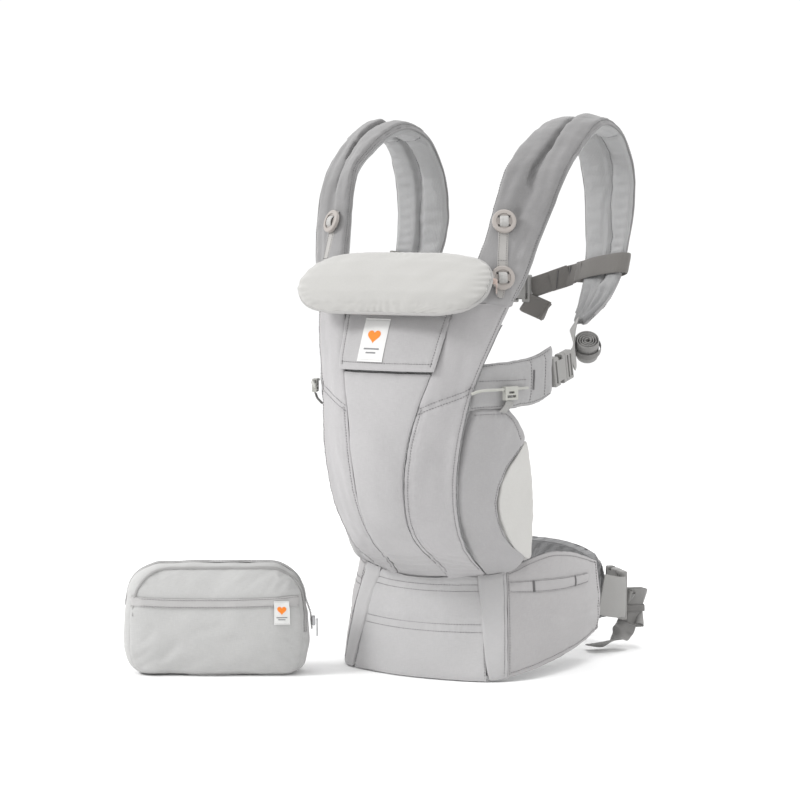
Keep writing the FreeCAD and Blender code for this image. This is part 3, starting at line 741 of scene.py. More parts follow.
# painted shadow: the strap's mesh lining darkens to 0.48 of its colour towards the tips below 0.40
# m
strap_mesh = painted_light_and_shade_by_height(spacer_mesh("strap_mesh", (0.367, 0.367, 0.369), cell=0.0019, contrast=0.14),
                    0.400, 0.475, 0.48)
body_mesh = spacer_mesh("body_mesh", (0.32, 0.32, 0.322), cell=0.0022, contrast=0.2)
belt_mesh = spacer_mesh("belt_mesh", (0.277, 0.277, 0.281), contrast=0.15)
dark_cloth = cloth("dark_cloth", (0.13, 0.13, 0.135), contrast=0.1)
taupe_webbing = webbing_cloth("taupe_webbing", (0.144, 0.137, 0.129))
grey_webbing = webbing_cloth("grey_webbing", (0.286, 0.282, 0.274))
roll_webbing = webbing_cloth("roll_webbing", (0.235, 0.231, 0.225), rib=0.0012)
dark_webbing = webbing_cloth("dark_webbing", (0.175, 0.171, 0.166), rib=0.0012)
nylon = moulded("nylon", (0.270, 0.266, 0.258))
button_nylon = moulded("button_nylon", (0.340, 0.312, 0.292), roughness=0.38)
rail_nylon = moulded("rail_nylon", (0.40, 0.40, 0.37), roughness=0.35)
knot_cloth = cloth("knot_cloth", (0.37, 0.365, 0.355), thread=900.0, contrast=0.2)
zinc = metal("zinc", (0.42, 0.42, 0.43), 0.38)
coil_nylon = moulded("coil_nylon", (0.22, 0.22, 0.22), roughness=0.4)
grey_thread = cloth("grey_thread", (0.150, 0.146, 0.148), contrast=0.1, mapped=False)
light_thread = cloth("light_thread", (0.46, 0.455, 0.45), contrast=0.1, mapped=False)
dark_thread = cloth("dark_thread", (0.085, 0.085, 0.09), contrast=0.1, mapped=False)

# ---- shaping helpers ----------------------------------------------------------------


def pad_of(piece_name, nodes, shoot, rows, low, high, columns, rims, front, back=None,
           behind=(), reach=(), **more):
    """Pad over some solids; reach lists edges that are drawn on to meet a neighbour."""
    near, far = sample(nodes, shoot, rows, low, high, columns, behind, **more)
    for side, shift, span in reach:
        stretch(near, far, side, shift, span)
    return Pad(piece_name, near, far, rims, front, back)


def reflected(pad, name):
    """The same pad on the carrier's other side."""
    twin = Pad.__new__(Pad)
    twin.name, twin.n, twin.m = name, pad.n, pad.m
    twin.front, twin.back = pad.front * MIRROR, pad.back * MIRROR
    twin.sign = -pad.sign
    twin.materials = list(pad.materials)
    return twin


def ripples(pad, size, across, along, seed, side="front", fade=None):
    """Soft uneven folds; across and along are wavelengths in metres."""
    grid = pad.grid(side)
    u, v = lengths(grid, 0), lengths(grid, 1)
    amount = np.zeros(u.shape)
    for i in range(pad.n):
        for j in range(pad.m):
            p = Vector((u[i, j] / along, v[i, j] / across, seed * 7.3))
            amount[i, j] = noise.noise(p) + 0.45 * noise.noise(p * 2.3)
    if fade is not None:
        amount = amount * fade
    pad.push(amount * size, side)


def crease(pad, points, depth, width, side="front", taper=0.0):
    """Presses a line into one side; taper is the share over which each end fades."""
    grid = pad.grid(side)
    p = resample(np.asarray(points, float), max(len(points), 60))
    gap = np.linalg.norm(grid[:, :, None] - p[None, None], axis=-1)
    nearest = np.argmin(gap, -1) / (len(p) - 1)
    amount = -depth * np.exp(-(gap.min(-1) / width) ** 2)
    if taper:
        amount *= np.clip(np.minimum(nearest, 1 - nearest) / taper, 0, 1) ** 0.7
    pad.push(amount, side)


def trace(pad, points, count=60):
    """Grid places along a smooth line through points of the object."""
    i, j = pad.locate(spline(np.array(points, float), count))
    return ease(i, 4), ease(j, 4)


def level(pad, z, first=0.0, last=1.0):
    """Grid places along the pad at one height."""
    rows = np.arange(round(first * (pad.n - 1)), round(last * (pad.n - 1)) + 1)
    columns = [np.interp(z, pad.front[i, :, 2], np.arange(pad.m)) for i in rows]
    return rows.astype(float), ease(columns, 3)


def beside_edge(pad, gap, low, high, far=False):
    """Grid places at an even distance from one edge of a pad, between two heights."""
    run = lengths(pad.front, 1)
    z = pad.front[:, -1 if far else 0, 2]
    rows = np.flatnonzero((z > low) & (z < high))
    columns = [np.interp(run[i, -1] - gap if far else gap, run[i], np.arange(pad.m))
               for i in rows]
    return rows.astype(float), ease(columns, 3)


def slope(pad, near_z, far_z):
    """Grid places across a pad, rising evenly from one height to another."""
    columns = np.arange(1, pad.m - 1)
    heights = np.linspace(near_z, far_z, len(columns))
    rows = [np.interp(z, pad.front[:, j, 2], np.arange(pad.n)) for z, j in zip(heights, columns)]
    return ease(rows, 3), columns.astype(float)


def top_hem(pad, over, beside, low):
    """Grid places below a pad's top edge and then down beside its far edge."""
    top = pad.front[..., 2].max()
    i, j = beside_edge(pad, beside, low, top - over, far=True)
    across = np.linspace(2, j[-1], 14)
    return (ease(np.concatenate([np.full(14, i[-1]), i[-2::-1]]), 6),
            ease(np.concatenate([across, j[-2::-1]]), 6))


def dropped(pad, points, way, count):
    """Grid places that a smooth line meets when it is moved along a direction."""
    line = spline(points, count)
    way = np.array(way)
    for _ in range(4):
        i, j = pad.locate(line)
        line = line + np.outer((pad.at(i, j)[0] - line) @ way, way)
    return ease(i, 4), ease(j, 4)


def follow(values):
    """Reads evenly spaced values at shares from 0 to 1."""
    return lambda s: np.interp(s, np.linspace(0, 1, len(values)), values)


def seam(pad, i, j, depth=0.0009, width=0.0022, pucker=0.0003, side="front", body=CARRIER,
         kind="grey", stitched=True, **size):
    """A stitched line that draws the cloth in, with small puckers beside it."""
    points = pad.at(i, j, 0.0, side)[0]
    crease(pad, points, depth, width, side)
    if pucker:
        grid = pad.grid(side)
        p = resample(points, 80)
        gap = np.linalg.norm(grid[:, :, None] - p[None, None], axis=-1)
        run = np.argmin(gap, -1) / 80 * np.linalg.norm(np.diff(p, axis=0), axis=1).sum()
        wave = np.sin(run * 620 + 2.1 * np.sin(run * 190))
        pad.push(pucker * wave * np.exp(-(gap.min(-1) / 0.006) ** 2), side)
    if stitched:
        stitch_on(pad, i, j, side=side, body=body, kind=kind, **size)


def rows_by_length(nodes, shoot, start, end, column, count):
    """Rows evenly spaced along the surface; column gives the place across for a row."""
    tree = tree_of(nodes)
    rows, hits = [], []
    for row in np.linspace(start, end, 240):
        origin, way, reach = shoot(row, column(row))
        hit = tree.ray_cast(origin, way, reach)[0]
        if hit is not None:
            rows.append(row)
            hits.append(hit)
    hits = np.array(hits)
    run = running(hits)
    return np.interp(np.linspace(0, run[-1], count), run, rows)


def bump_between(x, a, b, soft):
    """1 between a and b, falling smoothly to 0 over `soft` outside them."""
    low = np.clip((x - a + soft) / soft, 0, 1)
    high = np.clip((b + soft - x) / soft, 0, 1)
    s = np.minimum(low, high)
    return s * s * (3 - 2 * s)


def overlay(name, pad, i, j, rows, columns, thickness, material, lift=0.0):
    """A patch of cloth sewn on a pad; i and j give its grid places for two shares."""
    shares = np.meshgrid(np.linspace(0, 1, rows), np.linspace(0, 1, columns), indexing="ij")
    points, normal = pad.at(i(*shares).ravel(), j(*shares).ravel())
    points = points.reshape(rows, columns, 3)
    normal = normal.reshape(rows, columns, 3)
    near = points + normal * (thickness + lift)
    far = points - normal * (0.0006 - lift)
    return Pad(name, near, far, (thickness * 0.9,) * 4, material)


def both_sides(pad, finish):
    """Finishes a right-hand pad and its mirror image."""
    twin = reflected(pad, pad.name.replace("right", "left"))
    for piece, side in ((pad, "right"), (twin, "left")):
        finish(piece, side)


def flip(points, side):
    """Points given for the right side, on either side."""
    p = np.array(points, float)
    return p if side == "right" else p * MIRROR


# ---- waist belt ---------------------------------------------------------------------
BELT_MIDDLE = 0.150
BELT_TOP = 0.118
BELT_RAYS = polar((0, BELT_MIDDLE, 0), (0, 0, 1), (0, -1, 0), 0.35)


def belt_end(name, turn=1, limit=180):
    """Angle where a belt cover ends, and how much further round its top edge lies."""
    p = corners_of(name)
    angle = np.degrees(np.arctan2(p[:, 0] * turn, BELT_MIDDLE - p[:, 1])) % 360
    p, angle = p[angle < limit], angle[angle < limit]
    ends = angle > angle.max() - 2.5
    p, angle = p[ends], angle[ends]
    low, high = p[:, 2].argmin(), p[:, 2].argmax()
    tilt = (angle[high] - angle[low]) / (p[high, 2] - p[low, 2]) * BELT_TOP
    return angle[low], tilt


BELT_TILT = [(0, 0), belt_end("belt_front_panel"), belt_end("belt_side_bands"),
             belt_end("belt_wing_right"), belt_end("belt_wing_left", -1, 360)]


def around_belt(row, col):
    degrees = math.degrees(abs(row))
    tilt = np.interp(degrees, *zip(*BELT_TILT)) * math.copysign(1, row) * col / BELT_TOP
    return BELT_RAYS(row + math.radians(tilt), col)


BELT_COVERS = ("belt_front_panel", "belt_side_bands", "belt_wing_right", "belt_wing_left")


def belt_part(name, start, end, count, outer, rims, columns=36):
    rows = np.radians(np.linspace(start, end, count))
    return pad_of(name, BELT_COVERS, around_belt, rows, -0.002, 0.150, columns, rims, outer,
                  belt_mesh, behind=("belt_foam",))


SEAM_RIM = (0.0016, 0.93)
front_belt = belt_part("waist_belt_front", -30.25, 30.25, 64, belt_cloth,
                       (SEAM_RIM, SEAM_RIM, 0.006, 0.005))
for edge, turn in (("first row", -1), ("last row", 1)):
    stretch(front_belt.front, front_belt.back, edge, (turn * 0.0046, 0.0027, 0), 0.12)
ripples(front_belt, 0.0011, 0.030, 0.060, 1)
swell(front_belt, 6.0, 0.0025)
for z in (0.1070, 0.1000, 0.0635, 0.0550):
    seam(front_belt, *level(front_belt, z), depth=0.0012, width=0.0030)
for share in (0.012, 0.988):
    i = np.full(2, share * (front_belt.n - 1))
    seam(front_belt, i, np.array([1.0, front_belt.m - 2.0]), depth=0.0005)
attach(front_belt, CARRIER, ("belt_front_panel", "belt_foam"))

for side, turn in (("right", 1), ("left", -1)):
    band = belt_part(f"waist_belt_band_{side}", turn * 30.4, turn * 39.45, 20, band_cloth,
                     (SEAM_RIM, SEAM_RIM, 0.006, 0.005))
    stretch(band.front, band.back, "first row", (turn * -0.0022, -0.0013, 0), 0.30)
    ripples(band, 0.0006, 0.030, 0.040, 2 + turn)
    i = np.full(2, 16.0)
    seam(band, i, np.array([1.0, band.m - 2.0]), depth=0.0006)
    attach(band, CARRIER)
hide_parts("belt_side_bands")

WING_SPANS = (("right", 39.6, 103.7, 66), ("left", -39.6, -218.7, 150))
wings = {}
for side, start, end, count in WING_SPANS:
    wing = belt_part(f"waist_belt_wing_{side}", start, end, count, wing_cloth,
                     (SEAM_RIM, 0.007, 0.006, 0.005))
    ripples(wing, 0.0016, 0.028, 0.070, 5 if side == "right" else 6)
    swell(wing, 5.0, 0.0025)
    wings[side] = wing
right_wing, left_wing = wings["right"], wings["left"]
# the loop band on the right wing: its height and the share of the wing that it covers
BAND_HEIGHT = 0.1050
BAND_SPAN = (0.012, 0.786)
for z in (0.1105, 0.0990):
    i, j = level(right_wing, z, *BAND_SPAN)
    crease(right_wing, right_wing.at(i, j)[0], 0.0010, 0.0025)
for z in (0.072, 0.064):
    i, j = level(right_wing, z, 0.02, 0.97)
    crease(right_wing, right_wing.at(i, j)[0], 0.0006, 0.0025)
for z in (0.100, 0.093, 0.060, 0.052):
    seam(left_wing, *level(left_wing, z, 0.01, 0.985), depth=0.0010, width=0.0028)
for wing, inset in ((right_wing, 3.2), (left_wing, 3.0)):
    for place in (0.8, wing.n - 1 - inset):
        seam(wing, np.full(2, place), np.array([1.0, wing.m - 2.0]), depth=0.0006)
for wing in (right_wing, left_wing):
    for j in (2.2, wing.m - 3.2):
        rows = np.arange(1, wing.n - 1, 1.0)
        seam(wing, rows, np.full(len(rows), j), depth=0.0005, pucker=0.0002)
i, j = level(right_wing, BAND_HEIGHT, *BAND_SPAN)
band_row, band_column = follow(i), follow(j)
loop_band = overlay("waist_loop_band", right_wing, lambda s, t: band_row(s),
                    lambda s, t: band_column(s) + (t - 0.5) * 3.6,
                    60, 7, 0.0010, wing_cloth, lift=0.0002)
for j in (0.6, 5.4):
    stitch_on(loop_band, np.array([0.5, 58.5]), np.array([j, j]))
for place in (14.0, 44.0):
    for shift in (-0.4, 0.0, 0.4):
        stitch_on(loop_band, np.full(2, place + shift), np.array([0.3, 5.7]), pitch=0.0011,
                  length=0.0010, width=0.0016)
attach(loop_band, CARRIER)


def quilt(pad):
    """Upright quilted ribs on the side that lies against the wearer."""
    run = lengths(pad.back, 0)
    height = np.linspace(0, 1, pad.m)[None]
    ribs = 0.5 + 0.5 * np.cos(2 * np.pi * run / 0.0150 + 1.2 * np.sin(height * 3 + run * 9))
    pad.push(-0.0030 * ribs ** 4 * bump_between(height, 0.04, 0.96, 0.06), "back")


for side in SIDES:
    quilt(wings[side])
    attach(wings[side], CARRIER, (f"belt_wing_{side}",))

rows = np.radians(np.linspace(103.5, -218.4, 360))
belt_inside = pad_of("waist_belt_lining", ["belt_lining"], around_belt, rows, 0.0046, 0.150, 26,
                     (0.0012,) * 4, belt_mesh)
quilt(belt_inside)
attach(belt_inside, CARRIER, ("belt_lining",))

# ---- front panel --------------------------------------------------------------------
FRONT = planar((1, 0, 0), (0, 0, 1), (0, 1, 0))
PANEL_SEAM = (0.0032, 0.45)


def gathers(pad, seed):
    """Folds where the panel is drawn into the belt."""
    grid = pad.front
    z = grid[..., 2]
    fade = bump_between(z, 0.110, 0.134, 0.030)
    run = lengths(grid, 0)
    wave = np.zeros(z.shape)
    for i in range(pad.n):
        for j in range(pad.m):
            x = grid[i, j, 0]
            shift = noise.noise(Vector((x * 16, run[i, j] * 9, seed))) * 1.3
            wave[i, j] = math.sin(run[i, j] * 2 * math.pi / 0.0145 + 5 * shift + 14 * x)
    pad.push(0.0008 * wave * fade)


INTO_BELT = ("first row", (0, -0.0010, -0.0060), 0.10)
rows = rows_by_length(["body_centre_panel"], FRONT, 0.1198, 0.3538, lambda z: 0.0, 96)
centre = pad_of("front_centre_panel", ["body_centre_panel"], FRONT, rows, -0.060, 0.060, 46,
                (PANEL_SEAM,) * 4, centre_cloth, body_mesh,
                reach=(INTO_BELT, ("first column", (-0.0006, 0, 0), 0.1),
                       ("last column", (0.0006, 0, 0), 0.1)))
ripples(centre, 0.0013, 0.034, 0.075, 11)
gathers(centre, 1.0)
swell(centre, 4.0, 0.002)
attach(centre, CARRIER, ("body_centre_panel",))


def side_middle(z):
    """Middle of the side panel at a height."""
    return 0.052 + 0.044 * ((z - 0.1195) / 0.3085) ** 1.5


rows = rows_by_length(["body_side_panel_right"], FRONT, 0.1198, 0.4277, side_middle, 124)
side_panel = pad_of("front_side_panel_right", ["body_side_panel_right"], FRONT, rows, 0.020,
                    0.126, 46, (PANEL_SEAM, (0.002, 0.6), PANEL_SEAM, 0.004), side_cloth,
                    body_mesh, reach=(INTO_BELT, ("last row", (0.0015, 0.0025, 0.0030), 0.05),
                                      ("first column", (-0.0020, -0.0002, 0), 0.12)))
ripples(side_panel, 0.0019, 0.030, 0.070, 12)
gathers(side_panel, 2.0)
# heights of the seam across a side panel, at its inner and its outer edge
CROSS_SEAM = (0.3170, 0.3400)


def finish_side_panel(pad, side):
    if side == "left":
        ripples(pad, 0.0011, 0.026, 0.060, 14)
    for gap, depth in ((0.0042, 0.0011), (0.0085, 0.0005)):
        seam(pad, *beside_edge(pad, gap, 0.122, CROSS_SEAM[0]), depth=depth, width=0.0020,
             stitched=gap < 0.006)
    for drop in (0.0, 0.0062):
        seam(pad, *slope(pad, CROSS_SEAM[0] - drop, CROSS_SEAM[1] - drop), depth=0.0013,
             width=0.0024, pucker=0.0005)
    rows = np.arange(6.0, pad.n - 1)
    seam(pad, rows, np.full(len(rows), pad.m - 4.0), depth=0.0008, pucker=0.0004)
    attach(pad, CARRIER, (f"body_side_panel_{side}",))


swell(side_panel, 4.0, 0.002)
both_sides(side_panel, finish_side_panel)

rows = rows_by_length(["body_lining"], FRONT, 0.1198, 0.4077, lambda z: 0.0, 70)
inside = pad_of("front_lining", ["body_lining"], FRONT, rows, -0.122, 0.122, 60,
                (0.003, 0.003, 0.0035, 0.0035), body_mesh, body_mesh)
ripples(inside, 0.0012, 0.040, 0.060, 15, side="back")
attach(inside, CARRIER, ("body_lining",))

neck_rows = np.linspace(0.4095, 0.4695, 22)
neck_back = pad_of("neck_lining", ["body_lining"], FRONT, neck_rows, -0.092, 0.092, 50,
                   (0.004,) * 4, body_mesh, body_mesh,
                   reach=(("first row", (0, -0.0010, -0.0080), 0.3),
                          ("first column", (-0.0140, 0.0050, 0), 0.3),
                          ("last column", (0.0140, 0.0050, 0), 0.3)))
attach(neck_back, CARRIER)

rows = rows_by_length(["top_pocket_panel"], FRONT, 0.3572, 0.4718, lambda z: 0.0, 50)
pocket = pad_of("top_pocket", ["top_pocket_panel"], FRONT, rows, -0.072, 0.072, 56,
                (0.0028, 0.003, 0.0028, 0.0028), centre_cloth, dark_cloth,
                reach=(("first column", (-0.0050, 0.0016, 0), 0.25),
                       ("last column", (0.0050, 0.0016, 0), 0.25)))
ripples(pocket, 0.0009, 0.040, 0.050, 16)
for share in (0.055, 0.945):
    rows = np.arange(2.0, pocket.n - 1)
    seam(pocket, rows, np.full(len(rows), share * (pocket.m - 1)), depth=0.0008)
columns = np.arange(2.0, pocket.m - 2)
seam(pocket, np.full(len(columns), 3.4), columns, depth=0.0009)
attach(pocket, CARRIER, ("top_pocket_panel",))

neck = webbing("neck_band", [(0, -0.0205, 0.4610), (0, -0.0215, 0.4730),
                             (0, -0.0265, 0.4838), (0, -0.0330, 0.4800)],
               (1, 0, 0), 0.128, 0.003, cream_cloth, count=24)
bridge(neck, CARRIER, "head_pillow", (0, -0.0210, 0.4680), (0, -0.0275, 0.4840),
       "shell_cotton")


def emblem(name, pad, i, j, outline, material, lift, body):
    """A small flat woven mark; outline in metres about a grid place of a pad."""
    base, up = pad.at([i], [j])
    a = pad.at([i + 1], [j])[0][0] - base[0]
    b = pad.at([i], [j + 1])[0][0] - base[0]
    down, across = -a / np.linalg.norm(a), b / np.linalg.norm(b)
    points, faces = [], []
    for x, y in outline:
        place = base[0] + across * x - down * y
        points.append(place + up[0] * lift)
    points += [p - up[0] * (lift + 0.0003) for p in points]
    n = len(outline)
    faces.append(tuple(range(n)))
    faces.append(tuple(range(2 * n - 1, n - 1, -1)))
    faces += [(k, n + k, n + (k + 1) % n, (k + 1) % n) for k in range(n)]
    uv = [(p[0], p[2]) for p in points]
    piece = add_object(name, points, faces, uv, [material], smooth=False)
    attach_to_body(piece, body)


def heart(size):
    curve = []
    for t in np.linspace(0, 2 * np.pi, 48, endpoint=False):
        x = 16 * math.sin(t) ** 3
        y = 13 * math.cos(t) - 5 * math.cos(2 * t) - 2 * math.cos(3 * t) - math.cos(4 * t)
        curve.append((x / 32 * size, y / 32 * size))
    return curve


def bar(width, height):
    return [(x * width / 2, y * height / 2) for x, y in ((-1, -1), (1, -1), (1, 1), (-1, 1))]


def make_label(name, node_name, rows, low, high, shoot, scale, body, on=None):
    label = pad_of(name, [node_name], shoot, rows, low, high, 16, (0.0006,) * 4, label_cloth)
    if on:
        place, up = on.at(*on.locate(label.front.reshape(-1, 3)))
        label.front[:] = (place + up * 0.0036).reshape(label.front.shape)
        label.back[:] = (place + up * 0.0024).reshape(label.back.shape)
    n, m = label.n - 1, label.m - 1
    for i in (0.05, 0.95):
        stitch_on(label, np.full(2, i * n), np.array([0.05, 0.95]) * m, kind="light", body=body,
                  pitch=0.0020, length=0.0015, width=0.0004, height=0.0002)
    attach(label, body, (node_name,))
    emblem(name + "_heart", label, 0.60 * n, 0.5 * m, heart(0.017 * scale), heart_cloth, 0.0003,
           body)
    for k, (y, width) in enumerate(((0.30, 0.020), (0.21, 0.013))):
        emblem(f"{name}_bar_{k}", label, y * n, 0.5 * m, bar(width * scale, 0.0016 * scale),
               print_cloth, 0.0003, body)


make_label("front_label_cloth", "front_label", np.linspace(0.3665, 0.4135, 20), -0.040, 0.005,
           FRONT, 1.0, CARRIER)

# ---- leg panels and thigh pads ------------------------------------------------------
SIDE = planar((0.6, 0.8, 0), (0, 0, 1), (-0.8, 0.6, 0))


def finish_leg(pad, side):
    seam(pad, *top_hem(pad, 0.0065, 0.012, 0.276), depth=0.0011, pucker=0.0006)
    seam(pad, *beside_edge(pad, 0.0035, 0.148, 0.272, far=True), depth=0.0008)
    attach(pad, CARRIER, (f"leg_panel_{side}",))


rows = np.linspace(0.1268, 0.3155, 84)
leg = pad_of("leg_panel_soft_right", ["leg_panel_right"], SIDE, rows, -0.010, 0.140, 38,
             ((0.003, 0.5), 0.005, (0.004, 0.3), (0.003, 0.3)), leg_cloth, body_mesh, easing=2,
             reach=(("first row", (0.0030, -0.0010, -0.0090), 0.22),
                    ("first column", (-0.0060, -0.0110, 0), 0.35)))
ripples(leg, 0.0017, 0.024, 0.050, 21)
both_sides(leg, finish_leg)


def finish_thigh(pad, side):
    rows = np.linspace(3, pad.n - 4, 26)
    for i in rows:
        start = 1.0 + 1.2 * math.sin(i)
        i_line = np.array([i, i + (i - pad.n / 2) * 0.06])
        points = pad.at(i_line, np.array([start, start + 6.5]))[0]
        crease(pad, points, 0.0005, 0.0016, taper=0.3)
    attach(pad, CARRIER, (f"thigh_pad_{side}",))
    edge = pad.at(np.arange(0, pad.n, 1.0), np.full(pad.n, 0.0))[0]
    edge = spline(edge[::4], 90)
    away = flip([(-0.0006, -0.0018, 0)], side)[0]
    for k, shift in enumerate((0.4, 2.0)):
        piping = tube(f"thigh_piping_{k}_{side}", edge + away * shift, 0.0015, rim_cloth)
        settle(piping, CARRIER, levels=0)


rows = np.linspace(0.1473, 0.2737, 64)
thigh = pad_of("thigh_pad_soft_right", ["thigh_pad_right"], SIDE, rows, 0.020, 0.145, 26,
               (0.005, 0.005, 0.005, 0.005), pad_cream, body_mesh, easing=2,
               reach=(("first row", (0.0010, 0.0010, -0.0110), 0.25),))
ripples(thigh, 0.0008, 0.020, 0.030, 22)
both_sides(thigh, finish_thigh)

# ---- underarm wings -----------------------------------------------------------------
WING_RAYS = planar((0, 0, 1), (0.6, 0.8, 0), (-0.8, 0.6, 0))


def finish_arm(pad, side):
    seam(pad, *level(pad, 0.346, 0.04, 0.58), depth=0.0010, pucker=0.0005)
    for share in (0.06, 0.94):
        rows = np.arange(1.0, pad.n - 1)
        seam(pad, rows, np.full(len(rows), share * (pad.m - 1)), depth=0.0008, pucker=0.0004)
    for row in (0.66, 0.90):
        columns = np.arange(2.0, pad.m - 2)
        seam(pad, np.full(len(columns), row * (pad.n - 1)), columns, depth=0.0007)
    for k in range(3):
        stitch_on(pad, np.full(2, (0.69 + 0.008 * k) * (pad.n - 1)),
                  np.array([0.3, 0.66]) * (pad.m - 1), pitch=0.0011, length=0.001, width=0.0016)
    attach(pad, CARRIER, (f"underarm_wing_{side}",))


rows = np.linspace(0.0372, 0.1300, 46)
arm = pad_of("underarm_wing_soft_right", ["underarm_wing_right"], WING_RAYS, rows, 0.310, 0.390,
             22, (0.003, 0.004, 0.006, 0.006), arm_cloth, arm_cloth,
             reach=(("first row", (-0.0190, -0.0100, 0), 0.35),
                    ("last row", (0.0010, 0.0045, 0.0010), 0.10),
                    ("first column", (-0.0010, 0, -0.0065), 0.5)))
ripples(arm, 0.0014, 0.020, 0.034, 31)
both_sides(arm, finish_arm)

# ---- shoulder straps ----------------------------------------------------------------
# place along the strap, then x y z of its inner and its outer edge, in millimetres
STRAP = np.array([
    (0, 69, -43, 428, 122, -8, 428),
    (35, 77, -28, 457, 132, 10, 457),
    (70, 85, -10, 489, 140, 21, 489),
    (105, 89, 4, 523, 148, 38, 523),
    (142, 93, 18, 557, 154, 57, 557),
    (172, 95, 32, 583, 157, 81, 584),
    (210, 96, 68, 606, 159, 116, 610),
    (255, 96, 116, 626, 160, 150, 630),
    (300, 96, 165, 635, 160, 183, 635),
    (344, 95, 212, 625, 161, 221, 624),
    (380, 94, 243, 601, 162, 245, 600),
    (418, 93, 263, 567, 162, 257, 566),
    (455, 93, 269, 529, 160, 256, 529),
    (497, 97, 263, 488, 157, 247, 488),
    (540, 103, 242, 449, 155, 226, 451),
    (574, 110, 208, 421, 149, 190, 421),
    (600, 120, 171, 400, 136, 160, 399)], float)
STRAP_MIDDLE = (115, 500)


def edge_angle(y, z):
    """Angles of an edge about the strap's middle, in degrees, falling along the strap."""
    angle = np.arctan2(z - STRAP_MIDDLE[1], y - STRAP_MIDDLE[0])
    return np.degrees(np.unwrap(np.where(angle < -np.pi / 2, angle + 2 * np.pi, angle)))


STRAP_TURN = [edge_angle(STRAP[:, 2], STRAP[:, 3]), edge_angle(STRAP[:, 5], STRAP[:, 6]),
              STRAP[:, 1], STRAP[:, 4]]
STRAP_RAYS = polar((0, 0.115, 0.500), (1, 0, 0), (0, 1, 0), 0.30)


def strap_turn(t):
    return [np.interp(t, STRAP[:, 0], values) for values in STRAP_TURN]


def around_strap(row, col):
    inner, outer, near, far = strap_turn(row)
    share = np.clip((col * 1000 - near) / (far - near), -0.2, 1.2)
    return STRAP_RAYS(math.radians(inner + (outer - inner) * share), col)


def strap_places(pad):
    """Place along the strap and share of its width for every grid point."""
    t = np.linspace(4.5, 597, pad.n)[:, None] + np.zeros((pad.n, pad.m))
    v = lengths(pad.front, 1)
    return t, v / v[:, -1:]


def strap_line(pad, places, count=70):
    """Grid places along a smooth line given as (place, share of the width)."""
    line = spline(np.array([(t / 600, s, 0) for t, s in places]), count)
    i = np.interp(line[:, 0] * 600, np.linspace(4.5, 597, pad.n), np.arange(pad.n))
    _, share = strap_places(pad)
    j = [np.interp(s, share[int(round(a))], np.arange(pad.m)) for a, s in zip(i, line[:, 1])]
    return i, ease(j, 3)


def valley(pad, places, depth, width, side="front", taper=0.25):
    i, j = strap_line(pad, places)
    crease(pad, pad.at(i, j, 0.0, side)[0], depth, width, side, taper)


# places along the strap between which its outer lobe rolls over its inner lobe
ROLL = (138, 300)


def roll_share(t):
    """Share of the strap's width at which the lobes meet: a shallow bow around the shoulder."""
    return 0.55 + 0.04 * np.exp(-((t - 190) / 28) ** 2)


def roll_over(pad, lip, depth, width):
    """One lobe rolling over the next: a crisp lip beside a deep, narrow gap."""
    t, share = strap_places(pad)
    off = (share - roll_share(t)) * lengths(pad.front, 1)[:, -1:]
    fade = np.clip(np.minimum(t - ROLL[0], ROLL[1] - t) / 16, 0, 1) ** 0.6
    raised = lip * np.exp(-((off - 0.8 * width) / (1.6 * width)) ** 2)
    sunk = -depth * np.exp(-(off / width) ** 2)
    pad.push(np.where(off > 0, raised, sunk) * fade)
    over = np.where(off > 0, np.exp(-((off - 0.002) / (0.7 * width)) ** 2), 0) * fade
    pad.front -= unit(np.gradient(pad.front, axis=1)) * (0.55 * width * over)[..., None]


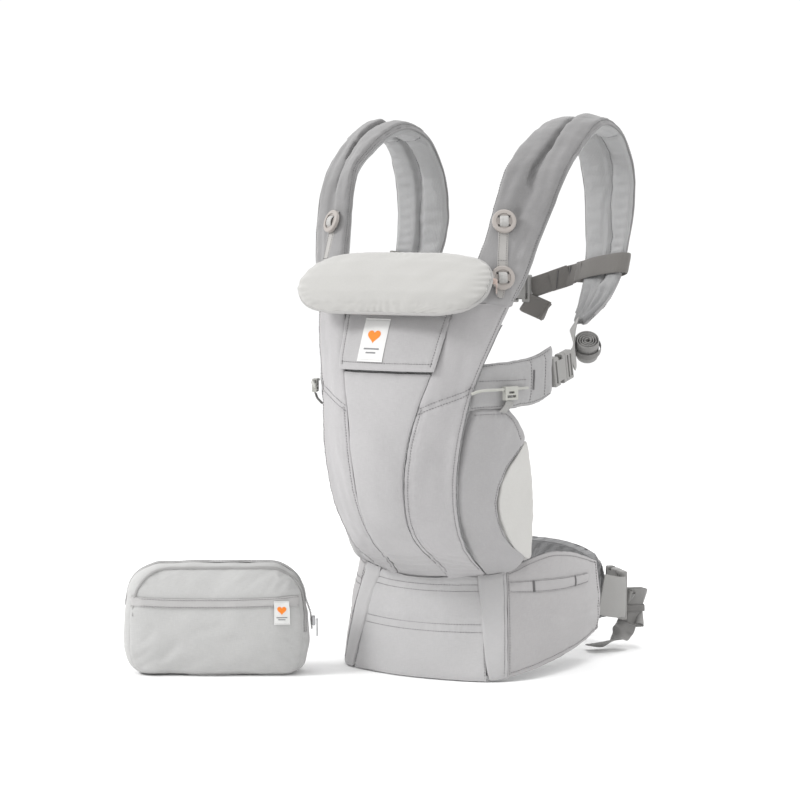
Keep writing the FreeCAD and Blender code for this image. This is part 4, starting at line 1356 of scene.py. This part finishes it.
def finish_strap(pad, side):
    seed = 41 if side == "right" else 57
    t, share = strap_places(pad)
    tape = 0.72 - 0.0045 * t
    free = 1 - bump_between(t, 0, 112, 20) * np.exp(-((share - tape) / 0.16) ** 2)
    ripples(pad, 0.0017, 0.026, 0.080, seed, fade=free)
    ripples(pad, 0.0008, 0.030, 0.016, seed + 1, fade=free * bump_between(t, 90, 600, 30))
    ripples(pad, 0.0012, 0.030, 0.030, seed + 2, side="back")
    valley(pad, [(88, 0.45), (140, 0.54), (200, 0.585)], 0.0040, 0.0085)
    roll_over(pad, 0.0030, 0.0095, 0.0058)
    valley(pad, [(90, 0.47), (102, 0.485), (116, 0.50)], 0.0042, 0.0038)
    valley(pad, [(120, 0.20), (150, 0.24), (185, 0.26), (220, 0.22)], 0.0016, 0.0050)
    valley(pad, [(110, 0.78), (150, 0.80), (190, 0.78), (230, 0.74)], 0.0014, 0.0055)
    valley(pad, [(20, 0.86), (45, 0.74), (75, 0.70), (100, 0.74)], 0.0016, 0.0050)
    valley(pad, [(14, 0.30), (40, 0.24), (70, 0.12)], 0.0014, 0.0048)
    for a in (45, 62, 80):
        valley(pad, [(a, 0.95), (a + 10, 0.80), (a + 8, 0.66)], 0.0014, 0.0035, taper=0.5)
    for edge in (1.6, pad.m - 2.6):
        rows = np.arange(2.0, pad.n - 2)
        seam(pad, rows, np.full(len(rows), edge), depth=0.0006, pucker=0.0003)
    i, j = strap_line(pad, [(292, 0.56), (380, 0.52), (480, 0.50), (560, 0.5)], 90)
    seam(pad, i, j, depth=0.0012, width=0.0035, pucker=0.0003)
    # the lining: a seam along its middle, a patch between two cross seams, quilting folds
    middle, sway, start = (0.585, 0.04, 372) if side == "right" else (0.485, 0.02, 335)
    bends = [(t, middle + sway * math.cos((t - start) * math.pi / 60))
             for t in range(335, 575, 30)]
    i, j = strap_line(pad, [(120, 0.50), (230, 0.50), *bends], 120)
    seam(pad, i, j, depth=0.0046, width=0.0040, pucker=0.0008, side="back", kind="dark")
    for share in (0.30, 0.52, 0.74):
        valley(pad, [(545, share), (565, share + 0.05), (592, share - 0.02)], 0.0034, 0.0038,
               side="back", taper=0.3)
    i, j = strap_line(pad, [(335, 0.06), (338, 0.5), (335, 0.94)], 40)
    seam(pad, i, j, depth=0.0022, width=0.0028, pucker=0.0005, side="back", kind="dark")
    for place in np.arange(376, 570, 13.0):
        lean = 4 * math.sin(place)
        valley(pad, [(place, 0.60), (place + lean, 0.74), (place + lean / 2, 0.93)], 0.0026,
               0.0036, side="back", taper=0.5)
    for place in np.arange(384, 560, 21.0):
        lean = 3 * math.cos(place)
        valley(pad, [(place, 0.10), (place + lean, 0.28), (place, 0.46)], 0.0016, 0.0042,
               side="back", taper=0.5)
    pad.build()
    nodes = (f"strap_cover_{side}", f"strap_lining_{side}")
    nodes += ("strap_foam",) if side == "right" else ()
    settle(pad.piece, CARRIER, nodes)
    for k, j in enumerate((0.0, pad.m - 1.0)):
        rows = np.arange(2.0, pad.n - 2, 3.0)
        edge = (pad.at(rows, np.full(len(rows), j))[0]
                + pad.at(rows, np.full(len(rows), j), side="back")[0]) / 2
        piping = tube(f"strap_piping_{k}_{side}", spline(edge, 260), 0.0015, strap_cloth, 8)
        settle(piping, CARRIER, levels=0)


rows = np.linspace(4.5, 597, 190)
strap = pad_of("shoulder_strap_right", ["strap_cover_right"], around_strap, rows, 0.060, 0.168,
               46, ((0.002, 0.7), 0.006, 0.006, 0.006), strap_cloth, strap_mesh,
               behind=("strap_foam", "strap_lining_right"), easing=2,
               reach=(("first row", (-0.0010, -0.0025, -0.0045), 0.02),))
swell(strap, 5.0, 0.003)
both_sides(strap, finish_strap)

tape_rows = np.linspace(9, 112, 40)
for side in SIDES:
    mirror = Vector((TURN[side], 1, 1))

    def shoot(row, col, mirror=mirror):
        origin, way, reach = around_strap(row, abs(col))
        return origin * mirror, way * mirror, reach

    ends = (0.070, 0.135) if side == "right" else (-0.135, -0.070)
    tape = pad_of(f"button_tape_{side}", ["button_tapes"], shoot, tape_rows, *ends, 12,
                  (0.0006,) * 4, tape_cloth, step=0.0008, easing=6)
    for j in (1.8, tape.m - 2.8):
        stitch_on(tape, np.array([0.5, tape.n - 1.5]), np.full(2, j), pitch=0.0026,
                  length=0.0021, width=0.0006, height=0.0003)
    for i in (1.5, 19.5, tape.n - 2.0):
        stitch_on(tape, np.full(2, i), np.array([0.5, tape.m - 1.5]), kind="grey",
                  pitch=0.0022, length=0.0017, width=0.0006)
    attach(tape, CARRIER, ("button_tapes",) if side == "right" else ())

corners = corners_of("strap_buttons")
for side in SIDES:
    turn = TURN[side]
    own = corners[corners[:, 0] * turn > 0]
    middle = (own[:, 2].min() + own[:, 2].max()) / 2
    for name, ring in (("lower", own[own[:, 2] < middle]), ("upper", own[own[:, 2] > middle])):
        # the short loop of tape over the bar in the middle of the button
        place = (ring.min(0) + ring.max(0)) / 2
        up = np.linalg.svd(ring - ring.mean(0))[2][2]
        up = up * np.sign(-up[1])
        along = unit(np.array([0, 0, 1.0]) - up * up[2])
        points = [place + along * s + up * h for s, h in
                  ((-0.0068, -0.0022), (-0.0056, 0.0014), (-0.0030, 0.0032), (0, 0.0036),
                   (0.0030, 0.0032), (0.0056, 0.0014), (0.0068, -0.0022))]
        knot = webbing(f"button_loop_{name}_{side}", points, np.cross(up, along),
                       0.0098, 0.0012, knot_cloth, 28)
        settle(knot, CARRIER, levels=0)

# ---- head pillow --------------------------------------------------------------------
PILLOW = planar((1, 0, 0), (0, -0.629, -0.777), (0, 0.777, -0.629))
rows = np.linspace(-0.3605, -0.2765, 56)
near, far = sample(["head_pillow_cover"], PILLOW, rows, -0.124, 0.124, 96,
                   behind=("head_pillow_foam", "head_pillow_back"), easing=3)
middle = near * 0.43 + far * 0.57
PILLOW_RIM = ((0.003, 0.5),) * 4
pillow = Pad("head_pillow_soft", near, middle, PILLOW_RIM, cream_cloth, rim_cloth)
under = Pad("head_pillow_underside", middle - (near - middle) * 0.02, far, PILLOW_RIM, rim_cloth,
            rim_cloth)


def rim_puckers(pad, size, side, count=46, reach=0.016):
    """Short folds that run in from the seam around a pad."""
    grid = pad.grid(side)
    u, v = lengths(grid, 0), lengths(grid, 1)
    gap = np.minimum(np.minimum(u, u[-1:] - u), np.minimum(v, v[:, -1:] - v))
    centre = grid.mean((0, 1))
    around = np.arctan2(grid[..., 2] - centre[2], (grid[..., 0] - centre[0]) * 0.5)
    wave = np.sin(around * count + 2.2 * np.sin(around * 7))
    pad.push(size * wave * np.exp(-((gap - reach * 0.35) / (reach * 0.6)) ** 2), side)


ripples(pillow, 0.0016, 0.050, 0.040, 61)
rim_puckers(pillow, 0.0006, "front")
swell(pillow, 4.0, 0.003)
columns = np.arange(8.0, pillow.m - 8)
seam(pillow, np.full(len(columns), pillow.n - 6.0), columns, depth=0.0012, width=0.003,
     body="head_pillow", stitched=False)
attach(pillow, "head_pillow", ("head_pillow_cover", "head_pillow_foam"))
rim_puckers(under, 0.0005, "back")
attach(under, "head_pillow", ("head_pillow_back",))
rim = np.concatenate([middle[0, 4:-4], middle[4:-4, -1], middle[-1, 4:-4][::-1],
                      middle[4:-4, 0][::-1]])
rim = resample(np.vstack([rim, rim[:1]]), 260)[:-1]
for _ in range(6):
    rim = (np.roll(rim, 1, 0) + 2 * rim + np.roll(rim, -1, 0)) / 4
piping = tube("head_pillow_piping", rim, 0.0020, rim_cloth, 10, closed=True)
settle(piping, "head_pillow", levels=0)

for side in SIDES:
    route = flip([(0.1170, -0.0480, 0.4570), (0.1220, -0.0455, 0.4558), (0.1180, -0.0370, 0.4490),
                  (0.1130, -0.0262, 0.4448)], side)
    loop = webbing(f"pillow_loop_{side}", route, (0, 0, 1), 0.0062, 0.0014, pink_tape,
                   24)
    settle(loop, "head_pillow", ("pillow_loops",) if side == "right" else ())

# ---- cross strap --------------------------------------------------------------------
LOOP = [(0.0890, 0.2500, 0.4600), (0.0985, 0.2640, 0.4590), (0.1180, 0.2640, 0.4610),
        (0.1400, 0.2570, 0.4650), (0.1560, 0.2480, 0.4690), (0.1620, 0.2370, 0.4720),
        (0.1520, 0.2280, 0.4725), (0.1350, 0.2272, 0.4700), (0.1165, 0.2302, 0.4665),
        (0.1000, 0.2400, 0.4625)]
LOOP_WIDTH = (0.05, 0.33, 0.94)

for side in SIDES:
    loop = closed_webbing(f"cross_strap_loop_{side}", flip(LOOP, side),
                          flip([LOOP_WIDTH], side)[0], *NARROW_WEB, taupe_webbing)
    settle(loop, "cross_strap",
           ("cross_strap_loops",) if side == "right" else ())

CROSS_WEB = [(0.1000, 0.2395, 0.4620), (0.0890, 0.2480, 0.4585), (0.0740, 0.2535, 0.4545),
             (0.0500, 0.2540, 0.4470)]
CROSS_WEB_WIDTH = [(0.1, 0.2, 1), (0.1, 0.1, 1), (0.1, 0, 1), (0.1, 0, 1), (0.1, 0, 1)]
web = webbing("cross_strap_web_soft_right", CROSS_WEB + [(0.0270, 0.2535, 0.4395)],
              CROSS_WEB_WIDTH, *NARROW_WEB, taupe_webbing)
settle(web, "cross_strap", ("cross_strap_web_right",))
doubled = webbing(
    "cross_strap_slide_loop",
    [(0.0800, 0.2528, 0.4565), (0.0700, 0.2512, 0.4530), (0.0620, 0.2512, 0.4505),
     (0.0540, 0.2524, 0.4480)], (0.1, 0, 1), 0.0256, 0.0014, taupe_webbing, 30)
settle(doubled, "cross_strap")
for place in ((0.0800, 0.2528, 0.4565), (0.0640, 0.2512, 0.4511)):
    p = np.array(place)
    line = np.array([p + np.array([0.1, 0, 1]) * s for s in np.linspace(-0.0115, 0.0115, 14)])
    normal = np.tile([0.0, -1.0, 0.0], (14, 1))
    threads.row(line + normal * 0.0012, normal, "cross_strap", "dark", pitch=0.0014,
                length=0.0013, width=0.0016, height=0.0007)
web = webbing("cross_strap_web_soft_left", flip(CROSS_WEB + [(0.0170, 0.2522, 0.4400)], "left"),
              flip(CROSS_WEB_WIDTH, "left"), *NARROW_WEB, taupe_webbing)
bridge(web, "cross_strap", "cross_plug", (-0.095, 0.245, 0.460), (-0.022, 0.252, 0.441),
       "taupe_webbing", "cross_strap_web_left")


def folded(name, centre, x_axis, width_axis, length, gap, layers, width, thickness, material,
           body, nodes, drift=0.0):
    """Webbing folded to and fro into a flat pack."""
    c, x, w = np.array(centre), unit(np.array(x_axis, float)), unit(np.array(width_axis, float))
    n = np.cross(x, w)
    points = []
    for k in range(layers):
        way = 1 if k % 2 == 0 else -1
        height = (k - (layers - 1) / 2) * gap
        sway = drift * math.sin(k * 2.4)
        for s in (-0.44, -0.2, 0.1, 0.44):
            points.append(c + x * (way * s * length) + n * height + w * sway)
        if k < layers - 1:
            points.append(c + x * (way * length * 0.5) + n * (height + gap / 2) + w * sway)
    piece = webbing(name, points, w, width, thickness, material, 50 * layers)
    settle(piece, body, nodes)
    return piece


folded("cross_strap_folds", (0.0330, 0.2540, 0.4170), (0.92, 0.1, -0.38), (0.38, 0, 0.92), 0.0300,
       0.0026, 4, 0.0245, 0.0017, taupe_webbing, "cross_strap",
       ("cross_strap_pack",), drift=0.0006)

# ---- underarm webbing ---------------------------------------------------------------
for side in SIDES:
    name = "underarm_plug_" + side
    route = flip([(0.14426, 0.11019, 0.3600), (0.1423, 0.1222, 0.3660), (0.1365, 0.1360, 0.3750),
                  (0.1310, 0.1480, 0.3840), (0.1265, 0.1590, 0.3930),
                  (0.1212, 0.1712, 0.4020)], side)
    hints = flip([(0.205, -0.02, -0.95), (0.05, 0.25, -0.95), (-0.05, 0.35, -0.92),
                  (-0.1, 0.4, -0.9), (-0.4, 0.6, -0.7), (-0.7, 0.5, -0.5)], side)
    web = webbing(f"underarm_web_{side}", route, -hints, *NARROW_WEB, grey_webbing)
    bridge(web, CARRIER, name, route[-1], route[0], "grey_webbing", f"underarm_webbing_{side}")
    middle = np.array((0.1475, 0.1470, 0.3750))
    axis = unit(np.array((0.30, -0.62, 0.72)))
    first = unit(np.cross(axis, [1.0, 0, 0]))
    second = np.cross(axis, first)
    turns = []
    wound = 8.6 * np.pi
    for a in np.linspace(0, wound, 110):
        radius = 0.0022 + 0.0122 * a / wound
        turns.append(middle + (first * math.cos(a) + second * math.sin(a)) * radius)
    turns = flip(turns, side)
    way = flip([axis], side)[0]
    roll = webbing(f"underarm_roll_{side}", turns, way, 0.0270, 0.0016, roll_webbing,
                   420)
    settle(roll, name, (f"underarm_web_roll_{side}",), levels=0)
    ring = []
    for a in np.linspace(0, 2 * np.pi, 24, endpoint=False):
        ring.append(middle + (first * math.cos(a) + second * math.sin(a)) * 0.0160)
    keeper = closed_webbing(f"underarm_keeper_{side}", flip(ring, side), way, 0.0088,
                            0.0011, dark_webbing, 120)
    settle(keeper, name, (f"underarm_roll_keeper_{side}",))
    route = flip([(0.1245, -0.0137, 0.3235), (0.1215, -0.0143, 0.3175), (0.1150, -0.0137, 0.3110)],
                 side)
    tab = webbing(f"seat_tab_soft_{side}", route, flip([(0.375, 0.927, 0)], side)[0],
                  0.0130, 0.0015, grey_webbing, 24)
    bridge(tab, CARRIER, "seat_hook_" + side, route[2], route[0], "grey_webbing",
           f"seat_tab_{side}")

# the rail cords run on to the edges of the front panel
rails = corners_of("seat_rails")
for side in SIDES:
    turn = TURN[side]
    own = rails[rails[:, 0] * turn > 0]
    along = np.array([0.6 * turn, 0.8, 0])
    near = own[own @ along < (own @ along).min() + 0.003].mean(0)
    cord = tube(f"seat_cord_{side}", spline([near + along * 0.003, near - along * 0.010,
                                             near - along * 0.020 - [0, 0, 0.0010],
                                             near - along * 0.028 - [0, 0, 0.0035]], 40),
                0.0016, rail_nylon, 10)
    settle(cord, CARRIER, levels=0)

# ---- waist webbing ------------------------------------------------------------------
web = webbing("waist_web_soft", [(0.1574, 0.2480, 0.0670), (0.1600, 0.2380, 0.0680),
                                 (0.1570, 0.2170, 0.0710), (0.1480, 0.1950, 0.0770)],
              (0, 0, 1), 0.050, 0.0018, grey_webbing, 60)
bridge(web, CARRIER, "waist_plug", (0.1480, 0.1950, 0.0770), (0.1574, 0.2480, 0.0670),
       "grey_webbing", "waist_webbing")
folded("waist_web_folds", (0.1570, 0.2770, 0.0490), (0.8, 0.6, 0), (-0.05, 0, 1), 0.0195, 0.0028,
       5, 0.048, 0.0018, roll_webbing, "waist_plug", ("waist_web_end",),
       drift=0.0008)
tail = webbing("waist_web_tail",
               [(0.1560, 0.2610, 0.0320), (0.1530, 0.2560, 0.0245),
                (0.1475, 0.2500, 0.0165), (0.1370, 0.2390, 0.0085),
                (0.1200, 0.2225, 0.0085)],
               [(0.7, 0.3, 0.5), (0.68, 0.4, 0.5), (0.6, 0.5, 0.4), (0.5, -0.6, 0.3),
                (0.5, -0.8, 0.2)], *NARROW_WEB, roll_webbing, 60)
settle(tail, "waist_plug")
corner = [(0.0121, 0.0081), (-0.0121, 0.0081), (-0.0121, -0.0081), (0.0121, -0.0081)]
ring = []
for k in range(4):
    (ax, ay), (bx, by) = corner[k], corner[(k + 1) % 4]
    for s in (0.12, 0.5, 0.88):
        x, y = ax + (bx - ax) * s, ay + (by - ay) * s
        ring.append((0.1570 + 0.8 * x - 0.6 * y, 0.2770 + 0.6 * x + 0.8 * y, 0.0490))
keeper = closed_webbing("waist_keeper", ring, (-0.05, 0, 1), 0.0080, 0.0010,
                        dark_webbing, 100)
settle(keeper, "waist_plug", ("waist_pack_keeper",))

# ---- zipped pouch -------------------------------------------------------------------
POUCH_PLACE = np.array((-0.2155, -0.0880, 0.0))
POUCH_ALONG = np.array((0.8704, 0.4924, 0.0))
POUCH_BACK = np.array((-0.4924, 0.8704, 0.0))
POUCH_RAYS = planar(tuple(POUCH_ALONG), (0, 0, 1), tuple(POUCH_BACK))
POUCH_MIDDLE = float(POUCH_PLACE @ POUCH_ALONG)


def in_pouch(points):
    """Points given in the pouch's own axes, in millimetres, on their place."""
    p = np.array(points, float) / 1000
    return POUCH_PLACE + p[:, :1] * POUCH_ALONG + p[:, 1:2] * POUCH_BACK + p[:, 2:] * [0, 0, 1]


def arch(half, top, corner, feet, middle=0.0, depth=0.0):
    """Arch with rounded corners in the pouch's own axes, from its right foot to its left."""
    width, height = corner
    right = [(half - width + width * math.cos(a), top - height + height * math.sin(a))
             for a in np.radians(np.linspace(0, 90, 7))]
    left = [(-x, z) for x, z in right[::-1]]
    line = [(half, feet[0]), *right, (0, top), *left, (-half, feet[1])]
    return [(middle + x, depth, z) for x, z in line]


rows = np.linspace(0.0006, 0.1294, 66)
pouch = pad_of("pouch_soft", ["pouch_body"], POUCH_RAYS, rows, POUCH_MIDDLE - 0.112,
               POUCH_MIDDLE + 0.112, 92, ((0.004, 0.82), (0.004, 0.6), (0.004, 0.5), (0.004, 0.5)),
               pouch_cloth, pouch_cloth, easing=3, fades=3,
               reach=(("first column", tuple(POUCH_ALONG * -0.0024), 0.10),
                      ("last column", tuple(POUCH_ALONG * 0.0030), 0.10)))
ripples(pouch, 0.0026, 0.070, 0.050, 71)
ripples(pouch, 0.0009, 0.024, 0.024, 72)
ripples(pouch, 0.0022, 0.060, 0.050, 73, side="back")
swell(pouch, 3.0, 0.004)
for a, b, depth in (((-88, 12), (-38, 42), 0.0030), ((-70, 6), (-15, 24), 0.0022),
                    ((-98, 30), (-66, 62), 0.0022), ((20, 8), (64, 30), 0.0014),
                    ((70, 52), (96, 34), 0.0016), ((-30, 52), (20, 66), 0.0012)):
    ends = in_pouch([(a[0], -25, a[1]), ((a[0] + b[0]) / 2 + 3, -25, (a[1] + b[1]) / 2 - 3),
                     (b[0], -25, b[1])])
    crease(pouch, pouch.at(*trace(pouch, ends, 40))[0], depth, 0.0065, taper=0.5)


def over_pouch(height):
    """Grid places of a line over the pouch's front that rises a little towards both ends."""
    line = [(x, -25, height + 3 * (x / 100) ** 2) for x in np.linspace(-101, 101, 50)]
    return pouch.locate(in_pouch(line))


i_edge, j_edge = (follow(places) for places in over_pouch(79))
pocket_cloth = overlay("pouch_pocket", pouch, lambda s, t: 1.5 + s * (i_edge(t) - 1.5),
                       lambda s, t: j_edge(t), 34, 70, 0.0014, pouch_cloth)
attach(pocket_cloth, "pouch")
i_top, j_top = (follow(places) for places in over_pouch(90))
hem = overlay("pouch_pocket_hem", pouch,
              lambda s, t: i_edge(t) * (1 - s) + i_top(t) * s,
              lambda s, t: j_edge(t) * (1 - s) + j_top(t) * s,
              9, 80, 0.0022, hem_cloth)
ripples(hem, 0.0004, 0.012, 0.02, 75)
for i_line in (1.0, 6.8):
    stitch_on(hem, np.full(2, i_line), np.array([0.5, hem.m - 1.5]), body="pouch")
attach(hem, "pouch")
attach(pouch, "pouch", ("pouch_body",))
i, j = dropped(pouch, in_pouch(arch(98.5, 124, (40, 45), (50, 60), 5.0, -25)), POUCH_BACK, 120)
points = pouch.at(i, j)[0]
piping = tube("pouch_piping", spline(points[::5], 200), 0.0019, zip_cover, 8)
settle(piping, "pouch", levels=0)
for shift in (-0.7, 0.7):
    stitch_on(pouch, i, np.clip(j + shift, 0, pouch.m - 1), body="pouch", width=0.0005)

corners, sides, _, _ = pouch.arrays()
skin = BVHTree.FromPolygons([Vector(p) for p in corners], [list(f) for f in sides])
heart_of_pouch = Vector(in_pouch([(0, 0, 50)])[0])
inner = []
for point in spline(in_pouch(arch(106.5, 131, (45, 53), (50, 80))), 34):
    way = (Vector(point) - heart_of_pouch).normalized()
    hit = skin.ray_cast(heart_of_pouch + way * 0.3, -way)[0]
    beside = np.clip((np.array(point) - POUCH_PLACE) @ POUCH_ALONG / 0.010 - 9, 0, 1)
    low = np.clip((0.090 - point[2]) / 0.020, 0, 1)
    inner.append(tuple(hit + way * float(0.0003 + 0.0026 * beside * low)))
tape = webbing("pouch_zip_tape", inner, tuple(POUCH_BACK), 0.0086, 0.0012, hem_cloth, 160)
settle(tape, "pouch", ("pouch_zip",))
route, _, up = along_web(inner, tuple(POUCH_BACK), 160)
away = unit(route - in_pouch([(0, 0, 50)]))
out = up * np.sign(np.sum(up * away, -1, keepdims=True))
threads.row(route + out * 0.0007, out, "pouch", "coil", pitch=0.0018, length=0.0013,
            width=0.0044, height=0.0009)

make_label("pouch_label_cloth", "pouch_label", np.linspace(0.0605, 0.0875, 14),
           POUCH_MIDDLE + 0.060, POUCH_MIDDLE + 0.092, POUCH_RAYS, 0.62, "pouch", pouch)

# ---- hard parts ---------------------------------------------------------------------


def paint(names, material):
    for name in names:
        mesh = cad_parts[name].data
        mesh.materials.clear()
        mesh.materials.append(material)


paint([f"underarm_buckle_{part}_{side}" for part in ("plug", "socket") for side in SIDES], nylon)
paint(["cross_buckle_plug", "cross_buckle_socket", "waist_buckle_plug", "waist_buckle_socket"],
      nylon)
paint([f"seat_hook_{side}" for side in SIDES], rail_nylon)
paint(["seat_rails"], rail_nylon)
paint(["strap_buttons"], button_nylon)
paint(["zip_slider", "zip_pull"], zinc)

threads.build({"grey": grey_thread, "light": light_thread, "dark": dark_thread,
               "coil": coil_nylon})

# ---- light, floor and camera --------------------------------------------------------


def area_light(name, place, target, size, power, colour=(1, 1, 1)):
    light = bpy.data.lights.new(name, "AREA")
    light.shape = "DISK"
    light.size = size
    light.energy = power
    light.color = colour
    lamp = bpy.data.objects.new(name, light)
    lamp.location = place
    lamp.rotation_euler = (Vector(target) - Vector(place)).to_track_quat("-Z", "Y").to_euler()
    bpy.context.scene.collection.objects.link(lamp)


def studio():
    floor_material = principled("floor", (0.97, 0.97, 0.97), 0.8, Specular_IOR_Level=0.1)[0]
    size = 14.0
    points = [(-size, -size, 0), (size, -size, 0), (size, size, 0), (-size, size, 0)]
    floor = add_object("floor", points, [(0, 1, 2, 3)], None, [floor_material], smooth=False)
    floor.location.z = -0.0004
    world = bpy.data.worlds.new("studio")
    world.use_nodes = True
    sky = world.node_tree.nodes["Background"]
    sky.inputs["Color"].default_value = (1, 1, 1, 1)
    sky.inputs["Strength"].default_value = 1.05
    bpy.context.scene.world = world
    area_light("key", (-2.2, -2.0, 2.4), (0, 0.05, 0.25), 1.1, 74)
    area_light("top", (0.7, 0.2, 2.8), (0, 0.1, 0.2), 1.2, 22)


def camera():
    data = bpy.data.cameras.new("camera")
    data.lens = 95
    data.sensor_width = 36
    eye = bpy.data.objects.new("camera", data)
    eye.location = (1.1075, -2.1221, 0.5220)
    eye.rotation_euler = (math.radians(85.15), 0, math.radians(28))
    bpy.context.scene.collection.objects.link(eye)
    bpy.context.scene.camera = eye


studio()
camera()
bpy.context.scene.view_settings.view_transform = "Standard"
